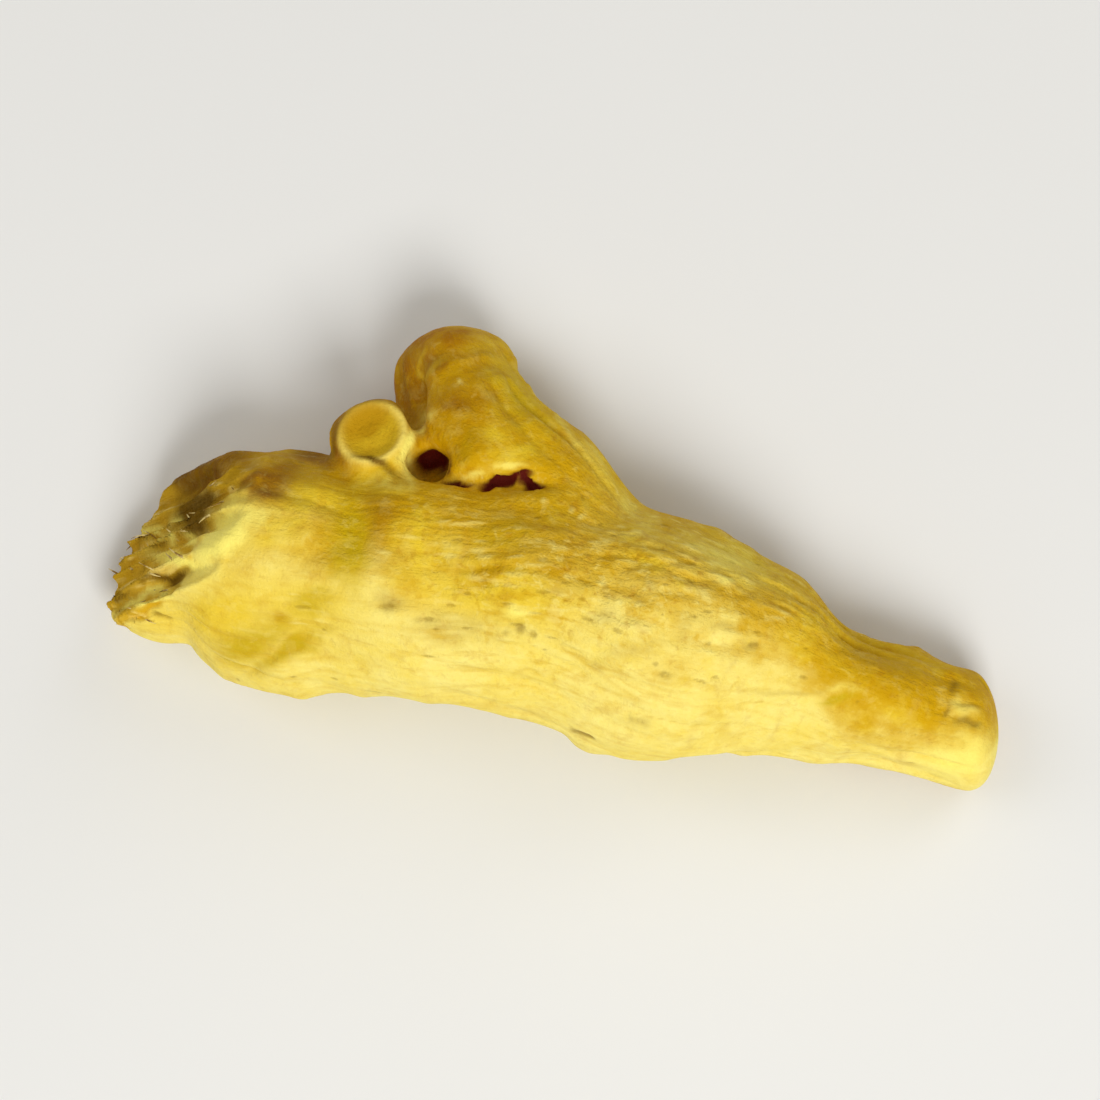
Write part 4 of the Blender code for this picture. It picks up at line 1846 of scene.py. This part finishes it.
@dataclass(frozen=True)
class Studio:
    """A pale floor, soft light and a camera that looks down on the root as the photograph does.

    Attributes:
        elevation: The camera's angle above the horizon, in degrees.
        width: How much the picture is wide at the root, in metres.
        lens: The camera's focal length, in millimetres.
        aim: The point that the camera looks at.
    """

    elevation: float = SEEN_FROM
    width: float = 0.086
    lens: float = 135.0
    sensor: float = 36.0
    aim: tuple[float, float, float] = (0.0, 0.0, 0.007)
    floor_size: float = 1.2
    floor: Colour = colour(228, 228, 226)

    def add_floor(self) -> None:
        """Lays the floor, whose top is the surface that the root lies on."""
        half = self.floor_size / 2
        corners = [(-half, -half, 0), (half, -half, 0), (half, half, 0), (-half, half, 0)]
        mesh = bpy.data.meshes.new("floor")
        mesh.from_pydata(corners, [], [(0, 1, 2, 3)])
        floor = add_object("floor", mesh)
        graph = Graph("floor_paper")
        shade = graph.noise(graph.millimetres(), 60.0, 2.0)
        lighter = tuple(min(channel * 1.04, 1.0) for channel in self.floor)
        graph.feed(graph.shader.inputs["Base Color"], graph.mix(shade, self.floor, lighter))
        graph.shader.inputs["Roughness"].default_value = 0.9
        graph.shader.inputs["Specular IOR Level"].default_value = 0.1
        mesh.materials.append(graph.material)

    def add_light(self, name: str, azimuth: float, elevation: float, size: float, power: float) -> None:
        """Adds a square light that faces the root.

        Args:
            name: The light's name.
            azimuth: The side that it stands on, in degrees: 0 is -Y and 90 is +X.
            elevation: Its angle above the floor, in degrees.
            size: Its side, in metres.
            power: Its power, in watts.
        """
        light = bpy.data.lights.new(name, "AREA")
        light.size = size
        light.energy = power
        lamp = bpy.data.objects.new(name, light)
        back = self.direction(azimuth, elevation)
        lamp.location = back * 0.7
        lamp.rotation_euler = (-back).to_track_quat("-Z", "Y").to_euler()
        bpy.context.scene.collection.objects.link(lamp)

    def direction(self, azimuth: float, elevation: float) -> Vector:
        """Returns the direction from the root to a place round it."""
        a, e = math.radians(azimuth), math.radians(elevation)
        return Vector((math.sin(a) * math.cos(e), -math.cos(a) * math.cos(e), math.sin(e)))

    def add_camera(self) -> None:
        """Sets the camera over the root."""
        data = bpy.data.cameras.new("camera")
        data.lens = self.lens
        data.sensor_width = self.sensor
        data.clip_start = 0.01
        camera = bpy.data.objects.new("camera", data)
        back = self.direction(0, self.elevation)
        camera.location = Vector(self.aim) + back * (self.width * self.lens / self.sensor)
        camera.rotation_euler = (-back).to_track_quat("-Z", "Y").to_euler()
        bpy.context.scene.collection.objects.link(camera)
        bpy.context.scene.camera = camera

    def build(self) -> None:
        """Builds the floor, the lights, the sky and the camera."""
        self.add_floor()
        self.add_light("key", azimuth=16, elevation=48, size=0.3, power=3.45)
        self.add_light("fill", azimuth=262, elevation=46, size=0.5, power=1.05)
        self.add_light("back", azimuth=126, elevation=40, size=0.4, power=0.85)
        world = bpy.data.worlds.new("sky")
        world.use_nodes = True
        background = world.node_tree.nodes["Background"]
        background.inputs["Color"].default_value = colour(255, 250, 240)
        background.inputs["Strength"].default_value = 0.3
        bpy.context.scene.world = world
        self.add_camera()
        bpy.context.scene.view_settings.view_transform = "Standard"


def corners(box: tuple[Vector, Vector]) -> list[list[float]]:
    """Returns a box's lowest and highest corners as plain lists of numbers."""
    return [list(map(float, corner)) for corner in box]


def main() -> None:
    """Builds the root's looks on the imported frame, and the studio round it."""
    logging.basicConfig(level=logging.INFO, format="%(name)s: %(message)s")
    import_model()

    root = RootSkin().build()
    root.data.materials.append(SkinFinish().material())
    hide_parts(NODE)
    fibres = TornFibres().build(root)
    fibres.data.materials.append(FibreFinish().material())
    for piece in (root, fibres):
        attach(piece, BODY_NAME)
        LOG.info("%s: %d vertices, %d faces", piece.name, len(piece.data.vertices), len(piece.data.polygons))

    Studio().build()
    LOG.info("studio: floor, lights and camera")


if __name__ == "__main__":
    main()
